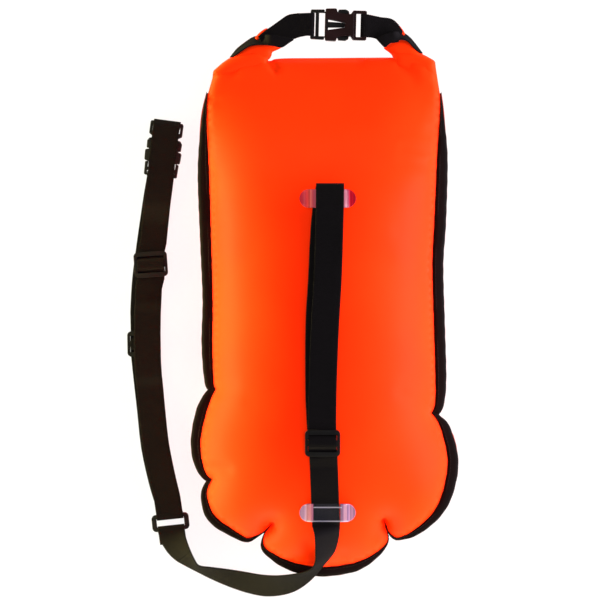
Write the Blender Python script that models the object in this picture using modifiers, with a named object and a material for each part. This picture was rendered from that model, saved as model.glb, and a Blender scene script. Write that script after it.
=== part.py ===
"""Inflatable open water swim buoy: a roll-top dry bag with an air-filled skin, a carrying
handle closed by a side-release buckle, and a leash that runs to a buckled waist belt.

Metres, +Z up. The bag lies on its back, its mouth towards +Y, its front face up. The origin
is on the ground under the middle of the bag.
"""
import math

import bmesh
import bpy
import numpy as np
from mathutils import Matrix, Vector
from mathutils.bvhtree import BVHTree
from mathutils.geometry import delaunay_2d_cdt

# Driving dimensions of the bag
HALF_WIDTH = 0.113
HALF_LENGTH = 0.222
WELD_HEIGHT = 0.075
FRONT_RISE = 0.075
BACK_DEPTH = 0.080
END_TAPER = 0.115
CENTRE_Y = -0.0295
FABRIC = 0.0005
LINER = 0.0004
BAND_WIDTH = 0.0100
BAND_WALL = 0.0008
GRID = 0.0175
GRID_MARGIN = 0.0100

# Clearances
GAP = 0.0003
SEAT = 0.0004
OVERRUN = 0.002

# Webbing, clear loops and hardware
STRAP_THICK = 0.0014
BELT_WIDTH = 0.025
HANDLE_WIDTH = 0.0205
CLEAR_THICK = 0.0010
CLEAR_LENGTH = 0.0505
CLEAR_WIDTH = 0.0165
CLEAR_SPREAD = 0.0190
UPPER_LOOP_Y = 0.0835
LOWER_LOOP_Y = -0.1990
LOOP_X = 0.0025

# Rolled mouth and handle. The handle's buckle lies past the end of the bag's half length and
# above its weld
ROLL_THICK = 0.0120
ROLL_EDGE = 0.0030
ROLL_CORNER = 0.0050
HANDLE_X = 0.0004
HANDLE_REACH = 0.0525
HANDLE_LIFT = 0.0040
HANDLE_DEG = -1.5

# Side-release buckle, along its own +X from the parting line
FEMALE_LENGTH = 0.0383
MALE_LENGTH = 0.0132
BUCKLE_THICK = 0.0095
BUCKLE_SIDE = 0.0046
BUCKLE_WALL = 0.0016
BUCKLE_EDGE = 0.0007
LUG_THICK = 0.0056
CAVITY_HEIGHT = 0.0058
CAVITY_DEPTH = 0.0232
ARM_THICK = 0.0051
CROSSBAR = 0.0030
MALE_SLOT = 0.0054
MALE_BAR = 0.0020
WEB_SLOT = 0.0026
SOCKET_BAR = 0.0038
SOCKET_SLOT = 0.0058
WRAP_RETURN = 0.0120
GUIDE_LENGTH = 0.0185
GUIDE_HALF = 0.0026
GUIDE_THICK = 0.0044
SLOT_MARGIN = 0.0005
ARM_PIVOT_X = 0.0046

# Outlines of the buckle's half, as shares of the piece's length and of its half width
SOCKET_SHARES = [
    (0.010, 0.93), (0.040, 0.98), (0.240, 1.00), (0.275, 0.97), (0.300, 0.78), (0.400, 0.70),
    (0.580, 0.66), (0.625, 0.70), (0.670, 0.88), (0.700, 0.91), (0.960, 0.91), (1.000, 0.86),
]
WINDOW_SHARES = [(0.035, 0.36), (0.475, 0.16)]
LUG_START_SHARE = 0.69
PLUG_SHARES = [(-1.00, 0.84), (-0.94, 0.91), (-0.10, 0.93), (-0.03, 0.90)]
ARM_ROOT_SHARES = [0.585, 0.765]
ARM_SHARES = [
    (0.240, 0.785), (0.308, 0.800), (0.324, 0.945), (0.496, 0.965), (0.569, 0.860), (0.587, 0.640),
    (0.509, 0.700), (0.313, 0.640),
]
ARM_PIVOT_SHARE = 0.675

# Tri-glide adjusters and the ring that joins the leash to the belt
GLIDE_ALONG = 0.0240
GLIDE_SIDE = 0.0032
GLIDE_THICK = 0.0028
GLIDE_BAR = 0.0042
GLIDE_CORNER = 0.0030
GLIDE_EDGE = 0.0005
RING_ALONG = 0.0160
RING_BAR = 0.0034
RING_SIDE = 0.0050

# Oral valve on the hidden back panel, below the bag's mouth
VALVE_X = 0.045
VALVE_DROP = 0.0575
VALVE_Y = CENTRE_Y + HALF_LENGTH - VALVE_DROP
VALVE_PAD = 0.0200
VALVE_HOLE = 0.0075
VALVE_FLANGE_R = 0.0165
VALVE_FLANGE_T = 0.0014
VALVE_STEM_R = 0.0068
VALVE_BORE_R = 0.0045
VALVE_STEM_H = 0.0110
VALVE_KNOB_R = 0.0095
VALVE_KNOB_H = 0.0100
VALVE_FLAP_T = 0.0008

# The weld line, as shares of HALF_WIDTH and HALF_LENGTH from the bag's centre, each point
# with the band's visible width there as a share of BAND_WIDTH. Every run is one smooth
# stretch, and the runs meet in the puckers of the seam, from the left shoulder round the
# bottom to the right shoulder.
SEAM_SHARES = [
    [(-0.945, 0.955, 0.28), (-0.952, 0.845, 0.72), (-0.932, 0.640, 1.10), (-0.915, 0.350, 1.08),
     (-0.902, 0.100, 1.00), (-0.905, -0.080, 0.98), (-0.895, -0.235, 0.75), (-0.880, -0.268, 0.60)],
    [(-0.880, -0.268, 0.60), (-0.945, -0.350, 1.00), (-0.998, -0.470, 0.98), (-0.990, -0.560, 0.88),
     (-0.950, -0.622, 0.60), (-0.908, -0.640, 0.36)],
    [(-0.908, -0.640, 0.36), (-0.950, -0.700, 0.60), (-0.885, -0.790, 0.85), (-0.700, -0.855, 0.72),
     (-0.610, -0.880, 0.42), (-0.525, -0.852, 0.28), (-0.445, -0.824, 0.34)],
    [(-0.445, -0.824, 0.34), (-0.452, -0.885, 0.26), (-0.432, -0.935, 0.46), (-0.330, -0.970, 0.74),
     (-0.150, -0.994, 0.96), (0.020, -1.002, 0.96), (0.200, -0.990, 0.92), (0.360, -0.955, 0.74),
     (0.462, -0.910, 0.52), (0.492, -0.866, 0.27), (0.486, -0.820, 0.34)],
    [(0.486, -0.820, 0.34), (0.585, -0.874, 0.27), (0.660, -0.870, 0.50), (0.800, -0.812, 0.80),
     (0.930, -0.705, 1.02), (0.994, -0.595, 1.08), (0.985, -0.500, 1.08), (0.948, -0.425, 0.78),
     (0.905, -0.388, 0.40), (0.868, -0.372, 0.60)],
    [(0.868, -0.372, 0.60), (0.896, -0.325, 0.78), (0.898, -0.220, 1.06), (0.886, 0.000, 1.06),
     (0.874, 0.245, 0.90), (0.890, 0.430, 1.06), (0.912, 0.690, 1.02), (0.935, 0.860, 0.58),
     (0.938, 0.955, 0.28)],
]
SEAM_STEP = 0.0085

# The rolled mouth with its two ends bent up, as shares of HALF_WIDTH across and of the
# roll's own reach above its lower edge
ROLL_REACH = 0.0472
ROLL_SHARES = [
    (-0.930, 0.000), (-0.930, 0.330), (-0.890, 0.465), (-0.750, 0.687), (-0.655, 0.926),
    (-0.560, 1.000), (-0.400, 0.945), (-0.360, 0.853), (-0.455, 0.668), (0.555, 0.668),
    (0.505, 0.871), (0.530, 0.981), (0.640, 1.037), (0.740, 0.981), (0.800, 0.760),
    (0.890, 0.594), (0.920, 0.440), (0.925, 0.000),
]

# Webbing routes: x, y, z of the middle of the webbing, and its twist in degrees. Those of the
# handle are measured from the middle of its buckle
HANDLE_LEFT_ROUTE = [
    (-0.0704, -0.0235, 0.0030, 0), (-0.0624, -0.0188, 0.0030, 0), (-0.0534, -0.0135, 0.0030, 0),
    (-0.0444, -0.0078, 0.0030, 0), (-0.0354, -0.0030, 0.0028, 0), (-0.0264, 0.0002, 0.0025, 0),
]
HANDLE_RIGHT_ROUTE = [
    (0.0846, -0.0235, 0.0030, 0), (0.0776, -0.0175, 0.0030, 0), (0.0706, -0.0115, 0.0030, 0),
    (0.0626, -0.0065, 0.0030, 0), (0.0546, -0.0035, 0.0030, 0), (0.0476, -0.0018, 0.0030, 0),
]
LEASH_LINE = [
    (0.0046, 0.0985), (0.0044, 0.0835), (0.0036, 0.0500), (0.0022, 0.0100), (-0.0004, -0.0350),
    (-0.0022, -0.0850), (-0.0026, -0.1180), (-0.0022, -0.1350), (-0.0010, -0.1560),
    (0.0006, -0.1990), (0.0020, -0.2280), (0.0012, -0.2580),
]
SLIDE_Y = -0.1350
LEASH_TAIL_ROUTE = [
    (-0.0002, -0.2655, 0.0790, 0),
    (-0.0022, -0.2705, 0.0700, 8), (-0.0056, -0.2735, 0.0590, 18), (-0.0105, -0.2752, 0.0465, 26),
    (-0.0175, -0.2765, 0.0340, 34), (-0.0270, -0.2775, 0.0225, 40), (-0.0400, -0.2778, 0.0140, 42),
    (-0.0540, -0.2762, 0.0108, 42), (-0.0680, -0.2738, 0.0104, 42), (-0.0830, -0.2695, 0.0108, 46),
    (-0.0980, -0.2650, 0.0116, 54), (-0.1110, -0.2605, 0.0115, 52), (-0.1220, -0.2552, 0.0088, 36),
    (-0.1312, -0.2487, 0.0050, 16), (-0.1390, -0.2365, 0.0058, 0),
]
LEASH_SEAM_END = (-0.1418, -0.2360)
BELT_FRONT_ROUTE = [
    (-0.1527, 0.1130, 0.0116, 0), (-0.1548, 0.0960, 0.0108, 0), (-0.1576, 0.0720, 0.0052, 0),
    (-0.1604, 0.0480, 0.0030, 0),
]
BELT_MIDDLE_ROUTE = [
    (-0.1648, 0.0050, 0.0029, 0), (-0.1655, -0.0120, 0.0036, 0), (-0.1658, -0.0290, 0.0070, 0),
    (-0.1659, -0.0440, 0.0083, 0), (-0.1656, -0.0620, 0.0070, 0), (-0.1645, -0.0800, 0.0038, 0),
    (-0.1618, -0.1110, 0.0029, 0), (-0.1588, -0.1394, 0.0029, 0), (-0.1557, -0.1573, 0.0030, 0),
    (-0.1515, -0.1770, 0.0038, 0), (-0.1475, -0.1930, 0.0052, 0),
]
BELT_LOWER_ROUTE = [
    (-0.1480, -0.1930, 0.0011, 0), (-0.1530, -0.1760, 0.0011, 0), (-0.1597, -0.1450, 0.0011, 0),
    (-0.1634, -0.1111, 0.0011, 0), (-0.1668, -0.0810, 0.0011, 0),
]
BELT_BACK_ROUTE = [
    (-0.1698, -0.0180, 0.0011, 0), (-0.1682, 0.0100, 0.0011, 0), (-0.1645, 0.0400, 0.0011, 0),
    (-0.1595, 0.0750, 0.0011, 0), (-0.1569, 0.0920, 0.0016, 0),
]
FRONT_SLIDE_PLACE = (-0.1628, 0.0262, 0.0030)
FRONT_SLIDE_DEG = 94.0
REAR_SLIDE_PLACE = (-0.1692, -0.0486, 0.0011)
REAR_SLIDE_DEG = 91.0
BELT_BUCKLE_PLACE = (-0.1522, 0.1220, 0.0054)
BELT_BUCKLE_DEG = 82.5
RING_PLACE = (-0.1443, -0.2165, 0.0035)
RING_DEG = 96.0

COLOURS = {
    "orange_fabric": ((1.0, 0.10, 0.005, 1.0), 0.45),
    "liner_fabric": ((0.85, 0.16, 0.03, 1.0), 0.6),
    "black_band": ((0.020, 0.013, 0.012, 1.0), 0.8),
    "black_webbing": ((0.012, 0.010, 0.009, 1.0), 0.85),
    "black_plastic": ((0.022, 0.020, 0.019, 1.0), 0.35),
    "clear_plastic": ((0.90, 0.80, 0.84, 1.0), 0.12),
    "grey_rubber": ((0.30, 0.30, 0.31, 1.0), 0.6),
}


def clear_scene():
    for item in list(bpy.data.objects):
        bpy.data.objects.remove(item, do_unlink=True)
    for group in list(bpy.data.collections):
        bpy.data.collections.remove(group)


def new_collection(name):
    group = bpy.data.collections.new(name)
    bpy.context.scene.collection.children.link(group)
    return group


clear_scene()
PARTS = new_collection("swim_buoy")
CUTTERS = new_collection("cutters")


def material(name):
    """The shared finish of that name, made once."""
    found = bpy.data.materials.get(name)
    if found:
        return found
    colour, roughness = COLOURS[name]
    made = bpy.data.materials.new(name)
    made.use_nodes = True
    shader = made.node_tree.nodes["Principled BSDF"]
    shader.inputs["Base Color"].default_value = colour
    shader.inputs["Roughness"].default_value = roughness
    shader.inputs["Metallic"].default_value = 0.0
    return made


def add_object(name, mesh, finish=None, group=PARTS):
    item = bpy.data.objects.new(name, mesh)
    group.objects.link(item)
    if finish:
        mesh.materials.clear()
        mesh.materials.append(material(finish))
    if group is CUTTERS:
        item.hide_render = True
        item.display_type = "WIRE"
    return item


def mesh_from(name, points, faces):
    mesh = bpy.data.meshes.new(name)
    mesh.from_pydata([tuple(p) for p in points], [], faces)
    mesh.validate()
    return mesh


def solidify(item, thickness, offset=0.0):
    wall = item.modifiers.new("thickness", "SOLIDIFY")
    wall.thickness = thickness
    wall.offset = offset
    wall.use_even_offset = True


def bevel(item, width, segments=2):
    soft = item.modifiers.new("rounded_edges", "BEVEL")
    soft.width = width
    soft.segments = segments
    soft.limit_method = "ANGLE"
    soft.angle_limit = math.radians(40)


def boolean(item, cutter, operation="DIFFERENCE"):
    cut = item.modifiers.new(cutter.name, "BOOLEAN")
    cut.operation = operation
    cut.solver = "EXACT"
    cut.object = cutter


def flat_outline(name, loops, thickness, finish=None, group=PARTS):
    """A flat plate from closed outlines: the first is its edge, the others its holes."""
    curve = bpy.data.curves.new(name, "CURVE")
    curve.dimensions = "2D"
    curve.fill_mode = "BOTH"
    curve.extrude = thickness / 2
    for loop in loops:
        spline = curve.splines.new("POLY")
        spline.points.add(len(loop) - 1)
        for point, (x, y) in zip(spline.points, loop):
            point.co = (x, y, 0.0, 1.0)
        spline.use_cyclic_u = True
    source = bpy.data.objects.new(name + "_outline", curve)
    bpy.context.scene.collection.objects.link(source)
    bpy.context.view_layer.update()
    evaluated = source.evaluated_get(bpy.context.evaluated_depsgraph_get())
    mesh = bpy.data.meshes.new_from_object(evaluated)
    bpy.data.objects.remove(source, do_unlink=True)
    bpy.data.curves.remove(curve)
    work = bmesh.new()
    work.from_mesh(mesh)
    bmesh.ops.remove_doubles(work, verts=work.verts, dist=GAP / 10)
    bmesh.ops.dissolve_limit(
        work, angle_limit=math.radians(1), verts=work.verts, edges=work.edges
    )
    bmesh.ops.recalc_face_normals(work, faces=work.faces)
    work.to_mesh(mesh)
    work.free()
    mesh.name = name
    return add_object(name, mesh, finish, group)


def box(name, low, high, group=CUTTERS, finish=None):
    work = bmesh.new()
    bmesh.ops.create_cube(work, size=1.0)
    low, high = Vector(low), Vector(high)
    size, middle = high - low, (high + low) / 2
    for vert in work.verts:
        vert.co = Vector(c * s + m for c, s, m in zip(vert.co, size, middle))
    mesh = bpy.data.meshes.new(name)
    work.to_mesh(mesh)
    work.free()
    return add_object(name, mesh, finish, group)


def turned(name, profile, steps, finish):
    """A turned piece: the profile (radius, height) runs down its outer side."""
    mesh = bpy.data.meshes.new(name)
    work = bmesh.new()
    closed = profile[0] == profile[-1]
    verts = [work.verts.new((r, 0.0, z)) for r, z in (profile[:-1] if closed else profile)]
    for first, second in zip(verts, verts[1:] + verts[:1] if closed else verts[1:]):
        work.edges.new((first, second))
    work.to_mesh(mesh)
    work.free()
    item = add_object(name, mesh, finish)
    spin = item.modifiers.new("turned", "SCREW")
    spin.steps = steps
    spin.render_steps = steps
    spin.use_merge_vertices = True
    spin.merge_threshold = GAP / 10
    return item


def smooth_path(points, steps):
    """Points on a Catmull-Rom curve through the given ones, with this many to a span."""
    ring = [points[0]] + list(points) + [points[-1]]
    made = []
    for a, b, c, d in zip(ring, ring[1:], ring[2:], ring[3:]):
        for k in range(steps):
            t = k / steps
            made.append(tuple(
                0.5 * (2 * q + (r - p) * t + (2 * p - 5 * q + 4 * r - s) * t * t
                       + (3 * q - p - 3 * r + s) * t ** 3)
                for p, q, r, s in zip(a, b, c, d)
            ))
    made.append(tuple(points[-1]))
    return made


def evenly(points, step):
    """The same polyline with points about one step apart, its ends kept."""
    spots = np.array([p[:2] for p in points])
    along = np.concatenate([[0.0], np.cumsum(np.linalg.norm(np.diff(spots, axis=0), axis=1))])
    count = max(2, round(along[-1] / step))
    wanted = np.linspace(0.0, along[-1], count + 1)
    values = np.array(points)
    return [tuple(np.interp(w, along, values[:, k]) for k in range(values.shape[1])) for w in wanted]


def strap(name, path, width, thickness, finish, widths=None):
    """Webbing along a path of (x, y, z, twist) points, flat across its way."""
    centres = [Vector(p[:3]) for p in path]
    ways = [b - a for a, b in zip(centres, centres[1:])]
    flat = next(w for w in ways if Vector(w[:2]).length > abs(w.z))
    side = Vector((-flat.y, flat.x, 0.0)).normalized()
    points, faces = [], []
    for k, centre in enumerate(centres):
        ahead = centres[min(k + 1, len(centres) - 1)] - centres[max(k - 1, 0)]
        ahead.normalize()
        level = Vector((-ahead.y, ahead.x, 0.0))
        if level.length > 0.35:
            level.normalize()
            if level.dot(side) < 0:
                level.negate()
            side = level
        across = Matrix.Rotation(math.radians(path[k][3]), 3, ahead) @ side
        half = (widths[k] if widths else width) / 2
        points += [centre - across * half, centre + across * half]
        if k:
            n = 2 * k
            faces.append((n - 2, n - 1, n + 1, n))
    item = add_object(name, mesh_from(name, points, faces), finish)
    solidify(item, thickness)
    return item


def bag_point(share):
    return (share[0] * HALF_WIDTH, CENTRE_Y + share[1] * HALF_LENGTH, share[2] * BAND_WIDTH)


def seam_stations():
    """Weld line points (x, y, band width), evenly spaced, each pucker kept as a corner."""
    stations = []
    for run in SEAM_SHARES:
        line = evenly(smooth_path([bag_point(s) for s in run], 8), SEAM_STEP)
        stations += line if not stations else line[1:]
    return stations


def outward(stations):
    """The unit normal in plan at each station, away from the bag."""
    spots = [Vector(s[:2]) for s in stations]
    normals = []
    for k, spot in enumerate(spots):
        before = (spot - spots[max(k - 1, 0)]).normalized() if k else Vector((0, 0))
        after = (spots[k + 1] - spot).normalized() if k + 1 < len(spots) else Vector((0, 0))
        way = (before + after).normalized()
        normals.append(Vector((way.y, -way.x)) * -1)
    return normals


STATIONS = seam_stations()
NORMALS = outward(STATIONS)
if (Vector(STATIONS[5][:2]) + NORMALS[5] * BAND_WIDTH).x > STATIONS[5][0]:
    NORMALS = [-n for n in NORMALS]

FLANGE_INNER = GAP / 2 + LINER + GAP
FLANGE_OUTER = FLANGE_INNER + FABRIC
SLOT_HALF = FLANGE_OUTER + GAP
BAND_HALF = SLOT_HALF + BAND_WALL


def flange_edge(k, clearance):
    """Where the flange ends inside the band, at that station."""
    reach = max(STATIONS[k][2] - BAND_WALL - clearance, BAND_WALL)
    return Vector(STATIONS[k][:2]) + NORMALS[k] * reach


def inflated_plan(with_pad):
    """The panel's plan, triangulated inside the weld line, and how far each point lifts.

    The lift solves the shape that pressure gives a skin held along its edge."""
    edge = [Vector(s[:2]) for s in STATIONS]
    top_count = round((edge[-1] - edge[0]).length / GRID)
    for k in range(1, top_count):
        edge.append(edge[len(STATIONS) - 1].lerp(edge[0], k / top_count))
    count = len(edge)
    corners = np.array([tuple(p) for p in edge])

    def inside(x, y):
        hit = False
        for (ax, ay), (bx, by) in zip(corners, np.roll(corners, -1, axis=0)):
            if (ay > y) != (by > y) and x < (bx - ax) * (y - ay) / (by - ay) + ax:
                hit = not hit
        return hit

    def edge_distance(x, y):
        a, b = corners, np.roll(corners, -1, axis=0)
        t = np.clip(((np.array([x, y]) - a) * (b - a)).sum(1) / ((b - a) ** 2).sum(1), 0, 1)
        return np.linalg.norm(a + (b - a) * t[:, None] - np.array([x, y]), axis=1).min()

    pad = Vector((VALVE_X, VALVE_Y))
    inner = []
    rows = math.ceil(2 * HALF_LENGTH / (GRID * math.sqrt(0.75)))
    columns = math.ceil(2 * HALF_WIDTH / GRID)
    for row in range(-rows, rows + 1):
        for column in range(-columns, columns + 1):
            x = (column + 0.5 * (row % 2)) * GRID
            y = CENTRE_Y + row * GRID * math.sqrt(0.75)
            near_pad = with_pad and (Vector((x, y)) - pad).length < VALVE_PAD + GRID / 2
            if not near_pad and inside(x, y) and edge_distance(x, y) > GRID_MARGIN:
                inner.append(Vector((x, y)))
    hole = []
    if with_pad:
        for k in range(12):
            way = Vector((math.cos(k * math.pi / 6), math.sin(k * math.pi / 6)))
            inner.append(pad + way * VALVE_PAD)
        hole = [pad + Vector((math.cos(k * math.pi / 6), math.sin(k * math.pi / 6))) * VALVE_HOLE
                for k in range(12)]
    spots = edge + inner + hole
    loops = [list(range(count))]
    first = len(edge) + len(inner)
    limits = [(k, (k + 1) % count) for k in range(count)]
    limits += [(first + k, first + (k + 1) % 12) for k in range(12) if hole]
    verts, _, faces, _, _, _ = delaunay_2d_cdt(spots, limits, loops, 1, GAP / 10)
    spots = [Vector(v) for v in verts]

    def keep(face):
        middle = sum((spots[i] for i in face), Vector((0, 0))) / 3
        return not (hole and (middle - pad).length < VALVE_HOLE)

    solved = solve_lift(spots, faces, count)
    faces = [tuple(f) for f in faces if keep(f)]
    return spots, faces, count, solved


def solve_lift(spots, faces, fixed):
    size = len(spots)
    stiff, load = np.zeros((size, size)), np.zeros(size)
    for face in faces:
        p = [spots[i] for i in face]
        area = abs((p[1] - p[0]).cross(p[2] - p[0])) / 2
        ways = [p[2] - p[1], p[0] - p[2], p[1] - p[0]]
        for i in range(3):
            load[face[i]] += area / 3
            for j in range(3):
                stiff[face[i], face[j]] += ways[i].dot(ways[j]) / (4 * area)
    lift = np.zeros(size)
    free = [k for k in range(fixed, size) if stiff[k, k] > 0.0]
    lift[free] = np.linalg.solve(stiff[np.ix_(free, free)], load[free])
    height = np.sqrt(2 * np.maximum(lift, 0.0))
    top = CENTRE_Y + HALF_LENGTH * SEAM_SHARES[0][0][1]
    for k, spot in enumerate(spots):
        way = min(max((top - spot.y) / END_TAPER, 0.0), 1.0)
        height[k] *= 1 - (1 - way) ** 2
    return height / height.max()


def make_panel(name, up, finish):
    """One skin of the bag: a dish inside the weld line and a flat flange outside it."""
    spots, faces, count, lift = inflated_plan(with_pad=not up)
    sign = 1 if up else -1
    base = WELD_HEIGHT + sign * FLANGE_OUTER
    depth = (FRONT_RISE if up else BACK_DEPTH) - FLANGE_OUTER
    heights = [base + sign * depth * value for value in lift]
    if not up:
        heights = [max(h, 0.0) for h in heights]
        heights = flatten_pad(spots, heights)
    points = [(p.x, p.y, z) for p, z in zip(spots, heights)]
    start = len(points)
    reach = len(STATIONS)
    for k in range(reach):
        rim = flange_edge(k, GAP)
        points.append((rim.x, rim.y, base))
    quads = [(k, k + 1, start + k + 1, start + k) for k in range(reach - 1)]
    mesh = mesh_from(name, points, list(faces) + quads)
    work = bmesh.new()
    work.from_mesh(mesh)
    bmesh.ops.recalc_face_normals(work, faces=work.faces)
    middle = max(work.faces, key=lambda f: sign * f.calc_center_median().z)
    if middle.normal.z * sign < 0:
        bmesh.ops.reverse_faces(work, faces=work.faces)
    work.to_mesh(mesh)
    work.free()
    item = add_object(name, mesh, finish)
    solidify(item, FABRIC, -1.0)
    mesh.shade_smooth()
    return item


def pad_plane(spots, heights):
    """The plane through the panel round the valve: its middle point and its slope."""
    pad = Vector((VALVE_X, VALVE_Y))
    near = [(p - pad, h) for p, h in zip(spots, heights) if (p - pad).length < VALVE_PAD * 1.05]
    system = np.array([[d.x, d.y, 1.0] for d, _ in near])
    values = np.array([h for _, h in near])
    return np.linalg.lstsq(system, values, rcond=None)[0]


PAD = {}


def flatten_pad(spots, heights):
    slope_x, slope_y, middle = pad_plane(spots, heights)
    PAD["point"] = Vector((VALVE_X, VALVE_Y, middle))
    PAD["normal"] = Vector((slope_x, slope_y, -1.0)).normalized()
    pad = Vector((VALVE_X, VALVE_Y))
    made = []
    for spot, height in zip(spots, heights):
        away = spot - pad
        flat = middle + slope_x * away.x + slope_y * away.y
        made.append(flat if away.length < VALVE_PAD * 1.05 else height)
    return made


def make_liner(name, up):
    """A flat inner wall of the dry compartment, sealed into the same seam."""
    loop = [flange_edge(k, GAP) for k in range(len(STATIONS))]
    item = flat_outline(name, [[tuple(p) for p in loop]], LINER, "liner_fabric")
    sign = 1 if up else -1
    item.location.z = WELD_HEIGHT + sign * (GAP / 2 + LINER / 2)
    return item


def make_band():
    """Woven tape folded over the seam, with the flanges in its fold."""
    points, faces = [], []
    for k, station in enumerate(STATIONS):
        spot, way, width = Vector(station[:2]), NORMALS[k], station[2]
        width = max(width, 3 * BAND_WALL)
        inner = spot + way * SEAT
        outer = spot + way * width
        bottom = spot + way * (width - BAND_WALL)
        section = [
            (inner, BAND_HALF), (outer, BAND_HALF), (outer, -BAND_HALF), (inner, -BAND_HALF),
            (inner, -SLOT_HALF), (bottom, -SLOT_HALF), (bottom, SLOT_HALF), (inner, SLOT_HALF),
        ]
        points += [(p.x, p.y, WELD_HEIGHT + z) for p, z in section]
        if k:
            n = 8 * k
            for i in range(8):
                j = (i + 1) % 8
                faces.append((n - 8 + i, n - 8 + j, n + j, n + i))
    faces.append(tuple(range(8)))
    faces.append(tuple(len(points) - 1 - i for i in range(8)))
    mesh = mesh_from("edge_binding", points, faces)
    work = bmesh.new()
    work.from_mesh(mesh)
    bmesh.ops.triangulate(work, faces=[f for f in work.faces if len(f.verts) == 8])
    bmesh.ops.recalc_face_normals(work, faces=work.faces)
    work.to_mesh(mesh)
    work.free()
    return add_object("edge_binding", mesh, "black_band")


def softened(loop, radius):
    """The closed outline with its corners rounded off."""
    made = []
    for before, corner, after in zip(loop[-1:] + loop[:-1], loop, loop[1:] + loop[:1]):
        a, b, c = Vector(before), Vector(corner), Vector(after)
        into, out = (a - b), (c - b)
        turn = math.pi - into.angle(out)
        count = math.ceil(turn / math.radians(35))
        if count < 2:
            made.append(tuple(b))
            continue
        reach = min(radius, into.length / 2, out.length / 2)
        start, end = b + into.normalized() * reach, b + out.normalized() * reach
        for k in range(count + 1):
            t = k / count
            made.append(tuple(start * (1 - t) ** 2 + b * 2 * t * (1 - t) + end * t * t))
    return made


def make_roll():
    bottom = CENTRE_Y + SEAM_SHARES[0][0][1] * HALF_LENGTH + GAP
    loop = [(x * HALF_WIDTH, bottom + y * ROLL_REACH) for x, y in ROLL_SHARES]
    item = flat_outline("closure_roll", [softened(loop, ROLL_CORNER)], ROLL_THICK, "orange_fabric")
    item.location.z = WELD_HEIGHT
    bevel(item, ROLL_EDGE, 3)
    return item


class Ground:
    """Heights on a finished skin, read from above."""

    def __init__(self, item):
        item_mesh = item.evaluated_get(bpy.context.evaluated_depsgraph_get()).to_mesh()
        verts = [item.matrix_world @ v.co for v in item_mesh.vertices]
        self.tree = BVHTree.FromPolygons(verts, [tuple(p.vertices) for p in item_mesh.polygons])

    def height(self, x, y):
        hit = self.tree.ray_cast(Vector((x, y, 4 * WELD_HEIGHT)), Vector((0, 0, -1)))[0]
        return max(hit.z if hit else 0.0, WELD_HEIGHT + BAND_HALF)


PLY = STRAP_THICK + GAP
FIRST_PLY = SEAT + STRAP_THICK / 2
CLEAR_LIFT = SEAT + STRAP_THICK + GAP + CLEAR_THICK / 2
OVER_CLEAR = CLEAR_LIFT + CLEAR_THICK / 2 + GAP + STRAP_THICK / 2
WEB_STEP = 0.0015
WEB_SAG = 0.0001
WEB_SAMPLES = 16
STRAP_STEP = 0.0125


def frame_at(x, y, z, turn, slope=0.0):
    """A frame on the webbing: local x along it, local z away from what it lies on."""
    tilt = Matrix.Rotation(math.atan(slope), 4, "X")
    return Matrix.Translation((x, y, z)) @ tilt @ Matrix.Rotation(math.radians(turn), 4, "Z")


def placed(place, spots):
    return [tuple(place @ Vector((x, 0.0, z))) + (0,) for x, z in spots]


def threaded(place):
    """Webbing through an adjuster: under its outer bars and over the middle one."""
    high = STRAP_THICK + 2 * GAP + GLIDE_THICK
    edge = GLIDE_ALONG / 2
    low = edge - GLIDE_BAR - GAP
    over = GLIDE_BAR / 2 + STRAP_THICK / 2
    spots = [(edge, 0.0), (low, 0.0), (over, high), (-over, high), (-low, 0.0), (-edge, 0.0)]
    return placed(place, spots)


def wrapped(place, sign, bar_near, bar_far, half_height, stop):
    """Webbing round a bar: in over it, down its inner side and back under it.

    Along the local x of place, sign points from the bar out to the free webbing."""
    level = half_height + GAP + STRAP_THICK / 2
    inner = bar_near - GAP - STRAP_THICK / 2
    quarter = STRAP_THICK / 4
    spots = [
        (bar_far + SEAT, level), (bar_near + quarter, level), (inner + quarter, level - quarter),
        (inner, level - STRAP_THICK), (inner, STRAP_THICK - level), (inner + quarter, quarter - level),
        (bar_near + quarter, -level), (stop, -level),
    ]
    return placed(place, [(sign * x, z) for x, z in spots])


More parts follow.
